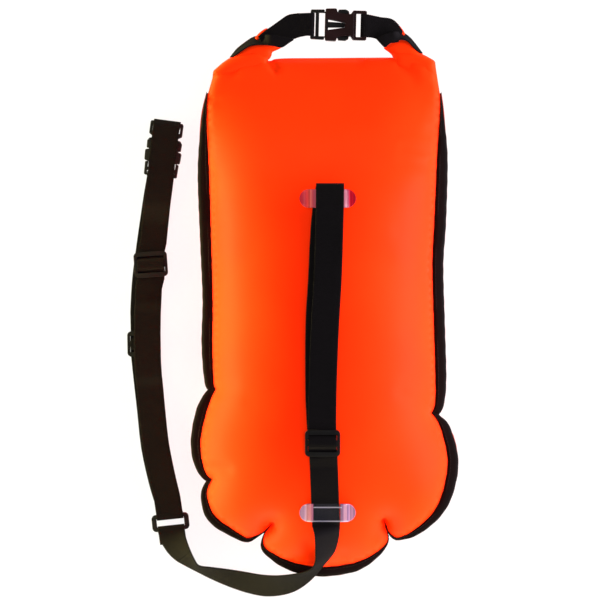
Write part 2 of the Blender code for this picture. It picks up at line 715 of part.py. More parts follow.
class LeashBed:
    """Where the leash webbing lies, drawn tight over the crown of the bag."""

    def __init__(self, ground):
        line = smooth_path(LEASH_LINE, 2)
        self.xs = [p[0] for p in line][::-1]
        self.ys = [p[1] for p in line][::-1]
        hull = []
        count = round((self.ys[-1] - self.ys[0]) / WEB_STEP)
        for k in range(count + 1):
            y = self.ys[0] + (self.ys[-1] - self.ys[0]) * k / count
            across = [self.x(y) + (i / WEB_SAMPLES - 0.5) * BELT_WIDTH for i in range(WEB_SAMPLES + 1)]
            spot = (y, max(ground.height(x, y) for x in across))
            while len(hull) > 1 and not self.bulges(hull[-2], hull[-1], spot):
                hull.pop()
            hull.append(spot)
        self.hull = np.array(hull)
        self.knots = [hull[0][0]]
        last = 0
        for k in range(2, len(hull)):
            sag = self.hull[last:k + 1, 1] - np.interp(
                self.hull[last:k + 1, 0], [hull[last][0], hull[k][0]], [hull[last][1], hull[k][1]])
            if sag.max() > WEB_SAG:
                last = k - 1
                self.knots.append(hull[last][0])

    def bulges(self, a, b, c):
        return (b[1] - a[1]) * (c[0] - a[0]) > (c[1] - a[1]) * (b[0] - a[0])

    def x(self, y):
        return float(np.interp(y, self.ys, self.xs))

    def z(self, y):
        return float(np.interp(y, self.hull[:, 0], self.hull[:, 1]))

    def slope(self, y):
        half = WEB_STEP * 4
        low, high = max(y - half, self.ys[0]), min(y + half, self.ys[-1])
        return (self.z(high) - self.z(low)) / (high - low)

    def at(self, y, lift):
        return (self.x(y), y, self.z(y) + lift * math.hypot(1.0, self.slope(y)), 0)

    def level(self, middle, y, lift):
        """The same lift over the plane that touches the bag at the middle."""
        rise = self.slope(middle)
        height = self.z(middle) + (y - middle) * rise + lift * math.hypot(1.0, rise)
        return (self.x(y), y, height, 0)

    def stretch(self, start, stop, lift):
        low, high = min(start, stop) + WEB_STEP, max(start, stop) - WEB_STEP
        between = sorted((y for y in self.knots if low < y < high), reverse=stop < start)
        return [self.at(y, lift) for y in [start] + between + [stop]]


def make_glide(name, place, lift=0.0, along=GLIDE_ALONG, side=GLIDE_SIDE, bars=3, bar=GLIDE_BAR):
    """A flat moulded adjuster: a rounded frame with one or two slots across."""
    half_x = BELT_WIDTH / 2 + side
    half_y = along / 2
    loops = [rounded_loop(half_x, half_y, GLIDE_CORNER, 4)]
    slot_x = BELT_WIDTH / 2 + SLOT_MARGIN
    if bars == 3:
        low, high = bar / 2, half_y - bar
        slot = rounded_loop(slot_x, (high - low) / 2, GLIDE_EDGE, 1)
        for sign in (-1, 1):
            loops.append([(x, y + sign * (low + high) / 2) for x, y in slot])
    else:
        loops.append(rounded_loop(slot_x, half_y - bar, GLIDE_EDGE, 1))
    item = flat_outline(name, loops, GLIDE_THICK, "black_plastic")
    turn = Matrix.Rotation(-math.pi / 2, 4, "Z")
    item.matrix_world = place @ Matrix.Translation((0.0, 0.0, lift)) @ turn
    bevel(item, GLIDE_EDGE, 1)
    return item


def rounded_loop(half_x, half_y, radius, steps):
    loop = []
    for corner, (sx, sy) in enumerate([(1, 1), (-1, 1), (-1, -1), (1, -1)]):
        for k in range(steps + 1):
            angle = (corner + k / steps) * math.pi / 2
            loop.append((sx * (half_x - radius) + radius * math.cos(angle),
                         sy * (half_y - radius) + radius * math.sin(angle)))
    return loop


def make_clear_loop(name, y, ground, bed):
    """A clear pill-shaped tab, welded down at both ends and raised over the webbing."""
    count = 18
    reach = CLEAR_WIDTH / 2
    slope = bed.slope(y)
    stretch_up = math.hypot(1.0, slope)
    top = bed.level(y, y, CLEAR_LIFT)[2]
    path, widths = [], []
    for k in range(count + 1):
        away = (k / count - 0.5) * CLEAR_LENGTH
        rise = min(max((CLEAR_SPREAD - abs(away)) / (CLEAR_WIDTH / 4) + 0.5, 0.0), 1.0)
        rise = rise * rise * (3 - 2 * rise)
        spot = LOOP_X + away
        seat = max(ground.height(spot, y + d * reach) - slope * d * reach for d in (-1, -0.5, 0, 0.5, 1))
        seat += (SEAT + CLEAR_THICK / 2) * stretch_up
        path.append((spot, y, seat + (max(top, seat) - seat) * rise, math.degrees(math.atan(slope))))
        end = max(abs(away) - (CLEAR_LENGTH - CLEAR_WIDTH) / 2, 0.0) * 2 / CLEAR_WIDTH
        widths.append(CLEAR_WIDTH * math.sqrt(max(1 - end ** 2, 0.12)))
    return strap(name, path, CLEAR_WIDTH, CLEAR_THICK, "clear_plastic", widths)


def mirror_y(points):
    return [(x, -y) for x, y in reversed(points)]


def make_buckle(prefix, webbing, place):
    """A side-release buckle: the socket, the plug and its two release arms."""
    half = webbing / 2 + BUCKLE_SIDE
    length = FEMALE_LENGTH
    side = [(x * length, y * half) for x, y in SOCKET_SHARES]
    socket = flat_outline(prefix + "_socket", [mirror_y(side) + side], BUCKLE_THICK, "black_plastic")
    bevel(socket, BUCKLE_EDGE, 2)
    cavity = box(prefix + "_cavity", (-OVERRUN, -half + BUCKLE_WALL, -CAVITY_HEIGHT / 2),
                 (CAVITY_DEPTH, half - BUCKLE_WALL, CAVITY_HEIGHT / 2))
    window_side = [(x * length, y * half) for x, y in WINDOW_SHARES]
    window = flat_outline(prefix + "_window", [mirror_y(window_side) + window_side],
                          BUCKLE_THICK + OVERRUN, None, CUTTERS)
    slot_half = webbing / 2 + SLOT_MARGIN
    bar = length - SOCKET_BAR
    slot = box(prefix + "_socket_slot", (bar - SOCKET_SLOT, -slot_half, -BUCKLE_THICK),
               (bar, slot_half, BUCKLE_THICK))
    lug_top = box(prefix + "_lug_top", (LUG_START_SHARE * length, -2 * half, LUG_THICK / 2),
                  (length + OVERRUN, 2 * half, BUCKLE_THICK))
    lug_bottom = box(prefix + "_lug_bottom", (LUG_START_SHARE * length, -2 * half, -BUCKLE_THICK),
                     (length + OVERRUN, 2 * half, -LUG_THICK / 2))
    for cutter in (cavity, window, slot, lug_top, lug_bottom):
        boolean(socket, cutter)

    base_side = [(x * MALE_LENGTH, y * half) for x, y in PLUG_SHARES]
    inner_half = half - BUCKLE_WALL - GAP
    plug_side = base_side + [(-0.03 * MALE_LENGTH, inner_half * 0.92), (CROSSBAR, inner_half * 0.92),
                             (CROSSBAR, GUIDE_HALF), (GUIDE_LENGTH * 0.94, GUIDE_HALF * 0.8),
                             (GUIDE_LENGTH, GUIDE_HALF * 0.5)]
    plug = flat_outline(prefix + "_plug", [mirror_y(plug_side) + plug_side], GUIDE_THICK, "black_plastic")
    bevel(plug, BUCKLE_EDGE, 1)
    plug_slot = box(prefix + "_plug_slot", (-MALE_SLOT, -slot_half, -BUCKLE_THICK),
                    (0.0, slot_half, BUCKLE_THICK))
    web_slot = box(prefix + "_web_slot", (MALE_BAR - MALE_LENGTH, -slot_half, -BUCKLE_THICK),
                   (MALE_BAR + WEB_SLOT - MALE_LENGTH, slot_half, BUCKLE_THICK))
    boolean(plug, plug_slot)
    boolean(plug, web_slot)

    arm = [(CROSSBAR + GAP, y) for y in ARM_ROOT_SHARES] + [(x * length, y) for x, y in ARM_SHARES]
    pieces = [socket, plug]
    for label, sign in (("first", 1), ("second", -1)):
        loop = [(x - ARM_PIVOT_X, sign * (y - ARM_PIVOT_SHARE) * half) for x, y in arm]
        lever = flat_outline(prefix + "_release_arm_" + label, [loop[::sign]], ARM_THICK, "black_plastic")
        lever.location = (ARM_PIVOT_X, sign * ARM_PIVOT_SHARE * half, 0.0)
        bevel(lever, BUCKLE_EDGE / 2, 1)
        pieces.append(lever)
    holder = bpy.data.objects.new(prefix + "_place", None)
    PARTS.objects.link(holder)
    holder.matrix_world = place
    for item in pieces + [cavity, window, slot, lug_top, lug_bottom, plug_slot, web_slot]:
        item.parent = holder
    return pieces


def make_valve():
    """A turn-to-open oral valve welded to the back panel, pointing away from it."""
    point, normal = PAD["point"], PAD["normal"]
    frame = normal.to_track_quat("Z", "Y").to_matrix().to_4x4()
    place = Matrix.Translation(point + normal * GAP) @ frame
    bore, stem = VALVE_BORE_R, VALVE_STEM_R
    depth = -2 * VALVE_FLANGE_T
    body = turned("valve_body", [
        (bore, VALVE_STEM_H), (stem, VALVE_STEM_H), (stem, VALVE_FLANGE_T),
        (VALVE_FLANGE_R * 0.97, VALVE_FLANGE_T), (VALVE_FLANGE_R, 0.0), (stem, 0.0), (stem, depth),
        (bore, depth), (bore, VALVE_STEM_H),
    ], 24, "black_plastic")
    skirt = stem + 2 * GAP
    lip = VALVE_STEM_H + GAP
    low = VALVE_FLANGE_T + 2 * GAP
    top = low + VALVE_KNOB_H + FABRIC
    knob = turned("valve_mouthpiece", [
        (bore / 2, top), (bore, top), (stem, lip + GAP + VALVE_FLANGE_T), (VALVE_KNOB_R, lip - GAP),
        (VALVE_KNOB_R, low), (skirt, low), (skirt, lip), (bore / 2, lip), (bore / 2, top),
    ], 24, "black_plastic")
    flap = turned("valve_flap", [
        (0.0, depth - GAP), (bore + BAND_WALL, depth - GAP), (bore + BAND_WALL, depth - GAP - VALVE_FLAP_T),
        (0.0, depth - GAP - VALVE_FLAP_T),
    ], 16, "grey_rubber")
    for item in (body, knob, flap):
        item.matrix_world = place
        item.data.shade_smooth()
    return place


def build():
    front = make_panel("front_panel", True, "orange_fabric")
    make_panel("back_panel", False, "orange_fabric")
    make_liner("front_liner", True)
    make_liner("back_liner", False)
    make_band()
    make_roll()
    make_valve()
    bpy.context.view_layer.update()
    ground = Ground(front)

    bed = LeashBed(ground)
    make_clear_loop("upper_clear_loop", UPPER_LOOP_Y, ground, bed)
    make_clear_loop("lower_clear_loop", LOWER_LOOP_Y, ground, bed)
    make_leash(bed)
    make_belt()
    make_handle()


GLIDE_LIFT = STRAP_THICK / 2 + GAP + GLIDE_THICK / 2


def make_leash(bed):
    half = GLIDE_ALONG / 2
    place = frame_at(*bed.at(SLIDE_Y, FIRST_PLY + PLY)[:3], 90.0, bed.slope(SLIDE_Y))
    edge = CLEAR_WIDTH / 2 + SEAT
    fold, clear_of = UPPER_LOOP_Y + edge, UPPER_LOOP_Y - edge
    low = bed.level(UPPER_LOOP_Y, fold, FIRST_PLY)
    top = bed.level(UPPER_LOOP_Y, fold, OVER_CLEAR)
    turn = [
        (low[0], fold + STRAP_THICK * out, low[2] + (top[2] - low[2]) * up, 0)
        for out, up in ((0.9, 0.05), (1.5, 0.33), (1.5, 0.67), (0.9, 0.95))
    ]
    path = bed.stretch(SLIDE_Y, clear_of, FIRST_PLY) + [low] + turn + [top]
    path += [bed.level(UPPER_LOOP_Y, clear_of, OVER_CLEAR)]
    path += bed.stretch(clear_of - STRAP_STEP, SLIDE_Y + half + STRAP_STEP / 2, FIRST_PLY + PLY)
    path += threaded(place)
    path += bed.stretch(SLIDE_Y - half - STRAP_STEP, LEASH_LINE[-1][1], FIRST_PLY)
    ring_place = frame_at(*RING_PLACE, RING_DEG)
    near, far = RING_ALONG / 2 - RING_BAR, RING_ALONG / 2
    round_ring = wrapped(ring_place, -1, near, far, GLIDE_THICK / 2, far + SEAT)
    path += smooth_path(LEASH_TAIL_ROUTE, 2) + round_ring
    path += [LEASH_SEAM_END + (round_ring[-1][2], 0)]
    strap("leash_strap", path, BELT_WIDTH, STRAP_THICK, "black_webbing")
    make_glide("leash_slide", place, GLIDE_LIFT)
    make_glide("belt_ring", ring_place, 0.0, RING_ALONG, RING_SIDE, 2, RING_BAR)


def make_belt():
    place = frame_at(*BELT_BUCKLE_PLACE, BELT_BUCKLE_DEG)
    make_buckle("belt_buckle", BELT_WIDTH, place)
    over = BUCKLE_THICK / 2 + GAP + STRAP_THICK / 2
    bar = FEMALE_LENGTH - SOCKET_BAR
    level = LUG_THICK / 2 + GAP + STRAP_THICK / 2
    end = FEMALE_LENGTH + GAP + STRAP_THICK / 2
    inner = bar - GAP - STRAP_THICK / 2
    quarter = STRAP_THICK / 4
    path = placed(place, [
        (inner, level / 2), (inner, STRAP_THICK - level), (inner + quarter, quarter - level),
        (bar + quarter, -level), (FEMALE_LENGTH - quarter, -level), (end - quarter, quarter - level),
        (end, STRAP_THICK - level), (end, level - STRAP_THICK), (end - quarter, level - quarter),
        (FEMALE_LENGTH - quarter, level), (bar, over), (FEMALE_LENGTH / 2, over), (0.0, over),
    ])
    front, rear = frame_at(*FRONT_SLIDE_PLACE, FRONT_SLIDE_DEG), frame_at(*REAR_SLIDE_PLACE, REAR_SLIDE_DEG)
    path += smooth_path(BELT_FRONT_ROUTE, 2) + threaded(front) + smooth_path(BELT_MIDDLE_ROUTE, 2)
    ring_place = frame_at(*RING_PLACE, RING_DEG)
    near, far = RING_ALONG / 2 - RING_BAR, RING_ALONG / 2
    path += wrapped(ring_place, 1, near, far, GLIDE_THICK / 2, far + SEAT)
    path += smooth_path(BELT_LOWER_ROUTE, 2) + threaded(rear)[::-1] + smooth_path(BELT_BACK_ROUTE, 2)
    path += wrapped(place, -1, MALE_LENGTH - MALE_BAR, MALE_LENGTH, GUIDE_THICK / 2,
                    MALE_LENGTH + SEAT)[::-1]
    strap("belt_strap", path, BELT_WIDTH, STRAP_THICK, "black_webbing")
    make_glide("belt_slide_front", front, GLIDE_LIFT)
    make_glide("belt_slide_rear", rear, GLIDE_LIFT)


def make_handle():
    middle = Vector((HANDLE_X, CENTRE_Y + HALF_LENGTH + HANDLE_REACH, WELD_HEIGHT + HANDLE_LIFT))
    place = Matrix.Translation(middle) @ Matrix.Rotation(math.radians(HANDLE_DEG), 4, "Z")
    make_buckle("handle_buckle", HANDLE_WIDTH, place)
    left = wrapped(place, -1, MALE_LENGTH - MALE_BAR, MALE_LENGTH, GUIDE_THICK / 2,
                   MALE_LENGTH + WRAP_RETURN)
    right = wrapped(place, 1, FEMALE_LENGTH - SOCKET_BAR, FEMALE_LENGTH, LUG_THICK / 2,
                    FEMALE_LENGTH + WRAP_RETURN)
    for name, route, end in (("handle_strap_left", HANDLE_LEFT_ROUTE, left),
                             ("handle_strap_right", HANDLE_RIGHT_ROUTE, right)):
        path = [(middle.x + x, middle.y + y, middle.z + z, twist) for x, y, z, twist in route]
        strap(name, smooth_path(path, 2) + end, HANDLE_WIDTH, STRAP_THICK, "black_webbing")


build()
bpy.context.view_layer.update()
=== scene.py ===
"""Open water swim buoy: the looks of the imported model, in metres, seen from straight above."""
import math
from contextlib import contextmanager

import bmesh
import bpy
import numpy as np
from mathutils import Matrix, Vector
from mathutils.geometry import delaunay_2d_cdt


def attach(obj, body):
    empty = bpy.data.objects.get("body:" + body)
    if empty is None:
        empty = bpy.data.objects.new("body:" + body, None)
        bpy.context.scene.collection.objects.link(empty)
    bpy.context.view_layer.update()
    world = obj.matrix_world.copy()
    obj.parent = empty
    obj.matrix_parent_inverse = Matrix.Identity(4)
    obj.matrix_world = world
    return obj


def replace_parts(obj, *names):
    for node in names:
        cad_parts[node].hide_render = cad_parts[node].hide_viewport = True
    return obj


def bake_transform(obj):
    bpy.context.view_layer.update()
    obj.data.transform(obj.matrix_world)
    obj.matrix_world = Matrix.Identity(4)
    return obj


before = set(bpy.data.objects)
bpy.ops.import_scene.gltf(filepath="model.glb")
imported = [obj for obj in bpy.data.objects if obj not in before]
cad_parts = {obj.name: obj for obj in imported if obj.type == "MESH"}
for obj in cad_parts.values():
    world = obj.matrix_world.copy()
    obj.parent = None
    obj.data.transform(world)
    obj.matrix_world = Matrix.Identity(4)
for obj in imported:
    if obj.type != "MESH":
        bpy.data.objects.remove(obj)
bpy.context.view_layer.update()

# The photograph, taken from straight above: its eye, and metres to a pixel on the floor
EYE = Vector((-0.02235, -0.00734, 2.83))
PIXEL = 0.000943
FRAME_SIDE = 600
SENSOR = 36.0

# Bag, as in the solids
HALF_WIDTH = 0.113
HALF_LENGTH = 0.222
CENTRE_Y = -0.0295
WELD = 0.075
FRONT_RISE = 0.075
BACK_DEPTH = 0.080
END_TAPER = 0.115
SKIN = 0.0005
FLANGE = 0.00135
BAND = 0.0100
BAND_HALF = 0.00245
BAND_WALL = 0.0008
GRID = 0.0042
ROLL_LIFT = 0.0062
ROLL_SOFT = 0.0085
SHOULDER, SHOULDER_LIFT, SHOULDER_SOFT = 0.28, 0.0075, 0.0140

# Webbing and hardware, as in the solids
WEB = 0.0014
GAP = 0.0003
SEAT = 0.0004
WIDE = 0.025
NARROW = 0.0205
GLIDE_ALONG, GLIDE_SIDE, GLIDE_THICK, GLIDE_BAR = 0.0240, 0.0032, 0.0028, 0.0042
RING_ALONG, RING_BAR, RING_SIDE = 0.0160, 0.0034, 0.0050
FEMALE_LENGTH, MALE_LENGTH = 0.0383, 0.0132
BUCKLE_THICK, BUCKLE_SIDE, BUCKLE_WALL, LUG_THICK = 0.0095, 0.0046, 0.0016, 0.0056
CAVITY_HEIGHT, CAVITY_DEPTH, ARM_THICK, CROSSBAR = 0.0058, 0.0232, 0.0051, 0.0030
MALE_SLOT, MALE_BAR, WEB_SLOT, SOCKET_BAR, SOCKET_SLOT = 0.0054, 0.0020, 0.0026, 0.0038, 0.0058
WRAP_RETURN, GUIDE_LENGTH, GUIDE_HALF, GUIDE_THICK = 0.0120, 0.0185, 0.0026, 0.0044
SLOT_MARGIN = 0.0005
CLEAR_THICK, CLEAR_LENGTH, CLEAR_WIDTH, CLEAR_X = 0.0010, 0.0505, 0.0165, 0.0025
UPPER_LOOP_Y, LOWER_LOOP_Y = 0.0835, -0.1990
SLIDE_Y = -0.1350
TAIL_START = -0.2085

# The weld line as (share of half width, share of half length, share of the tape's width)
SEAM = [
    [(-0.945, 0.955, 0.14), (-0.952, 0.845, 0.52), (-0.932, 0.640, 1.10), (-0.915, 0.350, 1.08),
     (-0.902, 0.100, 1.00), (-0.905, -0.080, 1.06), (-0.895, -0.235, 0.90), (-0.880, -0.268, 0.60)],
    [(-0.880, -0.268, 0.60), (-0.945, -0.350, 1.00), (-0.998, -0.470, 0.98), (-0.990, -0.560, 0.88),
     (-0.950, -0.622, 0.60), (-0.908, -0.640, 0.36)],
    [(-0.908, -0.640, 0.36), (-0.950, -0.700, 0.60), (-0.885, -0.790, 0.85), (-0.700, -0.860, 0.66),
     (-0.628, -0.882, 0.46), (-0.571, -0.876, 0.30), (-0.519, -0.864, 0.16), (-0.469, -0.846, 0.10),
     (-0.420, -0.822, 0.10)],
    [(-0.420, -0.822, 0.10), (-0.452, -0.843, 0.10), (-0.475, -0.860, 0.10), (-0.495, -0.893, 0.18),
     (-0.480, -0.921, 0.44), (-0.399, -0.950, 0.66), (-0.290, -0.976, 0.84), (-0.150, -0.995, 0.94),
     (0.020, -1.001, 0.94), (0.209, -0.988, 0.90), (0.306, -0.973, 0.76), (0.403, -0.948, 0.52),
     (0.480, -0.918, 0.28), (0.510, -0.896, 0.14), (0.510, -0.868, 0.10), (0.497, -0.838, 0.10),
     (0.481, -0.803, 0.10)],
    [(0.481, -0.803, 0.10), (0.500, -0.830, 0.10), (0.522, -0.855, 0.16), (0.559, -0.874, 0.26),
     (0.608, -0.880, 0.32), (0.727, -0.849, 0.62), (0.867, -0.785, 0.80), (0.944, -0.714, 0.98),
     (0.986, -0.628, 1.06), (0.997, -0.564, 1.04), (0.979, -0.500, 1.00), (0.937, -0.424, 0.84),
     (0.902, -0.390, 0.48), (0.867, -0.368, 0.66)],
    [(0.867, -0.368, 0.66), (0.896, -0.325, 0.88), (0.898, -0.220, 1.06), (0.886, 0.000, 1.06),
     (0.874, 0.245, 1.06), (0.890, 0.430, 1.13), (0.912, 0.690, 1.02), (0.935, 0.860, 0.42),
     (0.938, 0.955, 0.14)],
]

# The edge of the rolled mouth, in pixels of the photograph
MOUTH_EDGE = [
    (437.4, 78.0), (436.0, 69.0), (434.7, 61.4), (429.5, 59.4), (422.6, 60.6), (416.0, 60.0),
    (409.0, 58.6), (400.0, 57.6), (375.0, 57.6), (330.0, 58.0), (290.0, 58.2), (280.0, 58.6),
    (273.5, 59.4), (270.0, 61.2), (267.0, 60.4), (263.5, 57.8), (258.0, 57.7), (251.0, 58.8),
    (240.2, 60.2), (233.5, 62.2), (226.0, 64.2), (219.0, 67.0), (213.6, 71.6), (212.4, 78.0),
]


def spot(u, v, z):
    """The point at that height which shows at that pixel of the photograph."""
    scale = PIXEL * (1 - z / EYE.z)
    half = FRAME_SIDE / 2
    return Vector((EYE.x + (u - half) * scale, EYE.y + (half - v) * scale, z))


# Node groups and finishes

def new_group(name, inputs, outputs):
    tree = bpy.data.node_groups.new(name, "ShaderNodeTree")
    for label, kind, value in inputs:
        socket = tree.interface.new_socket(label, in_out="INPUT", socket_type=kind)
        if value is not None:
            socket.default_value = value
    for label, kind in outputs:
        tree.interface.new_socket(label, in_out="OUTPUT", socket_type=kind)
    return tree, tree.nodes.new("NodeGroupInput"), tree.nodes.new("NodeGroupOutput")


def node(tree, kind, values=(), **settings):
    """A node with its settings. Its values are (input, value or socket) pairs."""
    made = tree.nodes.new(kind)
    for key, value in settings.items():
        setattr(made, key, value)
    for key, value in values:
        if isinstance(value, bpy.types.NodeSocket):
            tree.links.new(value, made.inputs[key])
        else:
            made.inputs[key].default_value = value
    return made


def maths(tree, operation, first, second=0.0):
    return node(tree, "ShaderNodeMath", [(0, first), (1, second)], operation=operation).outputs[0]


def make_woven_group():
    """Yarns that cross: a height that rises over each yarn, from a vector in metres, and a tone that follows
    it, painted shade darker between the yarns, with random fibre tone.
    """
    tree, given, out = new_group(
        "woven_yarns",
        [("Vector", "NodeSocketVector", None), ("Across", "NodeSocketFloat", 0.0008),
         ("Along", "NodeSocketFloat", 0.0012)],
        [("Height", "NodeSocketFloat"), ("Shade", "NodeSocketFloat")])
    parts = node(tree, "ShaderNodeSeparateXYZ", [(0, given.outputs["Vector"])])
    across, along = [
        maths(tree, "MULTIPLY", maths(tree, "DIVIDE", parts.outputs[k], given.outputs[label]), 2 * math.pi)
        for k, label in enumerate(("Across", "Along"))]
    diagonal = maths(tree, "ADD", across, along)
    warp = maths(tree, "SINE", across)
    twill = maths(tree, "SINE", maths(tree, "MULTIPLY", diagonal, 0.5))
    height = maths(tree, "MULTIPLY", maths(tree, "ADD", warp, twill), 0.25)
    fibre = node(tree, "ShaderNodeTexNoise",
                 [("Vector", given.outputs["Vector"]), ("Scale", 2600.0), ("Detail", 2.0)])
    # The tone is lighter over each yarn and darker between them: painted shade, with random fibre tone added
    shade = maths(tree, "ADD", maths(tree, "MULTIPLY", height, 0.7),
                  maths(tree, "SUBTRACT", fibre.outputs[0], 0.5))
    tree.links.new(maths(tree, "ADD", height, 0.5), out.inputs["Height"])
    tree.links.new(maths(tree, "ADD", shade, 0.5), out.inputs["Shade"])
    return tree


def make_patina_group():
    """Slow and fine variation over a surface, for colour and roughness."""
    tree, given, out = new_group(
        "patina",
        [("Vector", "NodeSocketVector", None), ("Broad", "NodeSocketFloat", 12.0),
         ("Fine", "NodeSocketFloat", 900.0)],
        [("Broad", "NodeSocketFloat"), ("Fine", "NodeSocketFloat")])
    for label, detail in (("Broad", 3.0), ("Fine", 4.0)):
        noise = node(tree, "ShaderNodeTexNoise", [
            ("Vector", given.outputs["Vector"]), ("Scale", given.outputs[label]), ("Detail", detail)])
        tree.links.new(noise.outputs[0], out.inputs[label])
    return tree


WOVEN = make_woven_group()
PATINA = make_patina_group()


def linear(text):
    """A screen colour such as FF3C00, as the renderer wants it."""
    values = [int(text[k:k + 2], 16) / 255 for k in (0, 2, 4)]
    return tuple(v / 12.92 if v <= 0.04045 else ((v + 0.055) / 1.055) ** 2.4 for v in values) + (1.0,)


def new_material(name, **shader_values):
    """A material, its tree, its shader, its coordinates and slow and fine variation over it."""
    made = bpy.data.materials.new(name)
    made.use_nodes = True
    tree = made.node_tree
    shader = tree.nodes["Principled BSDF"]
    for key, value in shader_values.items():
        shader.inputs[key.replace("_", " ")].default_value = value
    place = node(tree, "ShaderNodeTexCoord")
    patina = node(tree, "ShaderNodeGroup", [("Vector", place.outputs["Object"])], node_tree=PATINA)
    return made, tree, shader, place, patina


def wear(tree, shader, patina, low, high, height, **relief):
    """Roughness that follows the slow variation, and the relief of a height."""
    rough = node(tree, "ShaderNodeMapRange", [(0, patina.outputs["Broad"]), *low, *high])
    bump = node(tree, "ShaderNodeBump", [("Height", height)] + list(relief.items()))
    tree.links.new(rough.outputs[0], shader.inputs["Roughness"])
    tree.links.new(bump.outputs[0], shader.inputs["Normal"])


def finish(name, dark, light, roughness, spread=0.06, bump=0.0001, woven=None, fine=900.0, broad=12.0,
           **shader_values):
    """A material whose colour, roughness and relief vary over the surface."""
    made, tree, shader, place, patina = new_material(name, **shader_values)
    patina.inputs["Broad"].default_value = broad
    patina.inputs["Fine"].default_value = fine
    height = patina.outputs["Fine"]
    shade = patina.outputs["Broad"]
    if woven:
        cloth = node(tree, "ShaderNodeGroup", node_tree=WOVEN)
        tree.links.new(place.outputs["UV"], cloth.inputs["Vector"])
        cloth.inputs["Across"].default_value, cloth.inputs["Along"].default_value = woven
        height = maths(tree, "ADD", cloth.outputs["Height"], maths(tree, "MULTIPLY", height, 0.3))
        # Woven finishes take part of their colour from that painted shade between the yarns
        shade = maths(tree, "ADD", maths(tree, "MULTIPLY", shade, 0.45),
                      maths(tree, "MULTIPLY", cloth.outputs["Shade"], 0.55))
    ramp = node(tree, "ShaderNodeValToRGB", [(0, shade)])
    for step, where, colour in zip(ramp.color_ramp.elements, (0.3, 0.7), (dark, light)):
        step.position, step.color = where, linear(colour)
    tree.links.new(ramp.outputs[0], shader.inputs["Base Color"])
    wear(tree, shader, patina, [(1, 0.3), (2, 0.7)], [(3, roughness - spread), (4, roughness + spread)],
         height, Distance=bump, Strength=0.6)
    return made


ORANGE = finish("coated_orange_nylon", "FF2C05", "FF3306", 0.50, 0.04, 0.00004, None, 1500.0, 9.0,
                Specular_IOR_Level=0.022)
INNER = finish("uncoated_orange_lining", "B82A06", "CC3608", 0.65, 0.05, 0.00006)
# The binding and the webbing are woven: their colour carries painted shade between the yarns
BINDING = finish("woven_binding", "0B0706", "130D0C", 0.85, 0.05, 0.00012, (0.0011, 0.0013),
                 Specular_IOR_Level=0.05)
WEBBING = finish("black_webbing", "090808", "110E0F", 0.82, 0.05, 0.00010, (0.0009, 0.0014),
                 Specular_IOR_Level=0.05)
PLASTIC = finish("moulded_black_plastic", "0E0D0D", "141312", 0.42, 0.05, 0.00002, None, 2200.0, 30.0,
                 Specular_IOR_Level=0.16)
MAROON = finish("dark_maroon_plastic", "140606", "1C0908", 0.42, 0.05, 0.00002, None, 2200.0, 30.0,
                Specular_IOR_Level=0.16)
STITCH = finish("black_thread", "0C0B0A", "181514", 0.7, 0.05, 0.00003, Specular_IOR_Level=0.25)
RUBBER = finish("grey_valve_rubber", "5E5E60", "6A6A6C", 0.6)


def make_film(name, stops, highlight_lines=()):
    """Clear film from (place along, colour, cover) stops, which paint its tint with highlights and shade,
    and painted highlight lines of (place across, reach).
    """
    made, tree, shader, place, patina = new_material(
        name, IOR=1.5, Specular_IOR_Level=0.2, Coat_Weight=0.10, Coat_Roughness=0.15)
    parts = node(tree, "ShaderNodeSeparateXYZ", [(0, place.outputs["UV"])])
    away, across = parts.outputs[0], parts.outputs[1]
    share = node(tree, "ShaderNodeMapRange", [(0, away), (1, -CLEAR_LENGTH / 2), (2, CLEAR_LENGTH / 2)])
    # The ramp's colours paint the film's tint together with highlights and shade along the tab
    ramp = node(tree, "ShaderNodeValToRGB", [(0, share.outputs[0])])
    steps = ramp.color_ramp.elements
    while len(steps) < len(stops):
        steps.new(1.0)
    for step, (where, colour, cover) in zip(steps, stops):
        step.position = where
        step.color = linear(colour)[:3] + (cover,)
    cover = ramp.outputs["Alpha"]
    streak = node(tree, "ShaderNodeTexNoise", [("W", away), ("Scale", 700.0), ("Detail", 2.0)],
                  noise_dimensions="1D")
    shade = node(tree, "ShaderNodeMapRange",
                 [(0, streak.outputs[0]), (1, 0.3), (2, 0.7), (3, 0.7), (4, 1.15)])
    tint = node(tree, "ShaderNodeVectorMath", [(0, ramp.outputs["Color"])], operation="SCALE")
    tree.links.new(shade.outputs[0], tint.inputs["Scale"])
    colour = tint.outputs[0]
    # Pale lines along the tab are painted highlights: each raises the cover and turns the colour pale
    for level, reach in highlight_lines:
        off = maths(tree, "ABSOLUTE", maths(tree, "SUBTRACT", across, level))
        near = node(tree, "ShaderNodeMapRange", [(0, off), (1, 0.0007), (2, 0.0002)]).outputs[0]
        inside = maths(tree, "LESS_THAN", maths(tree, "ABSOLUTE", away), reach)
        near = maths(tree, "MULTIPLY", near, inside)
        cover = maths(tree, "MAXIMUM", cover, maths(tree, "MULTIPLY", near, 0.62))
        colour = node(tree, "ShaderNodeMix", [(0, near), (6, colour), (7, linear("9A94A8"))],
                      data_type="RGBA").outputs[2]
    tree.links.new(colour, shader.inputs["Base Color"])
    tree.links.new(cover, shader.inputs["Alpha"])
    wear(tree, shader, patina, [(3, 0.26)], [(4, 0.38)], patina.outputs["Fine"], Distance=0.00001)
    return made
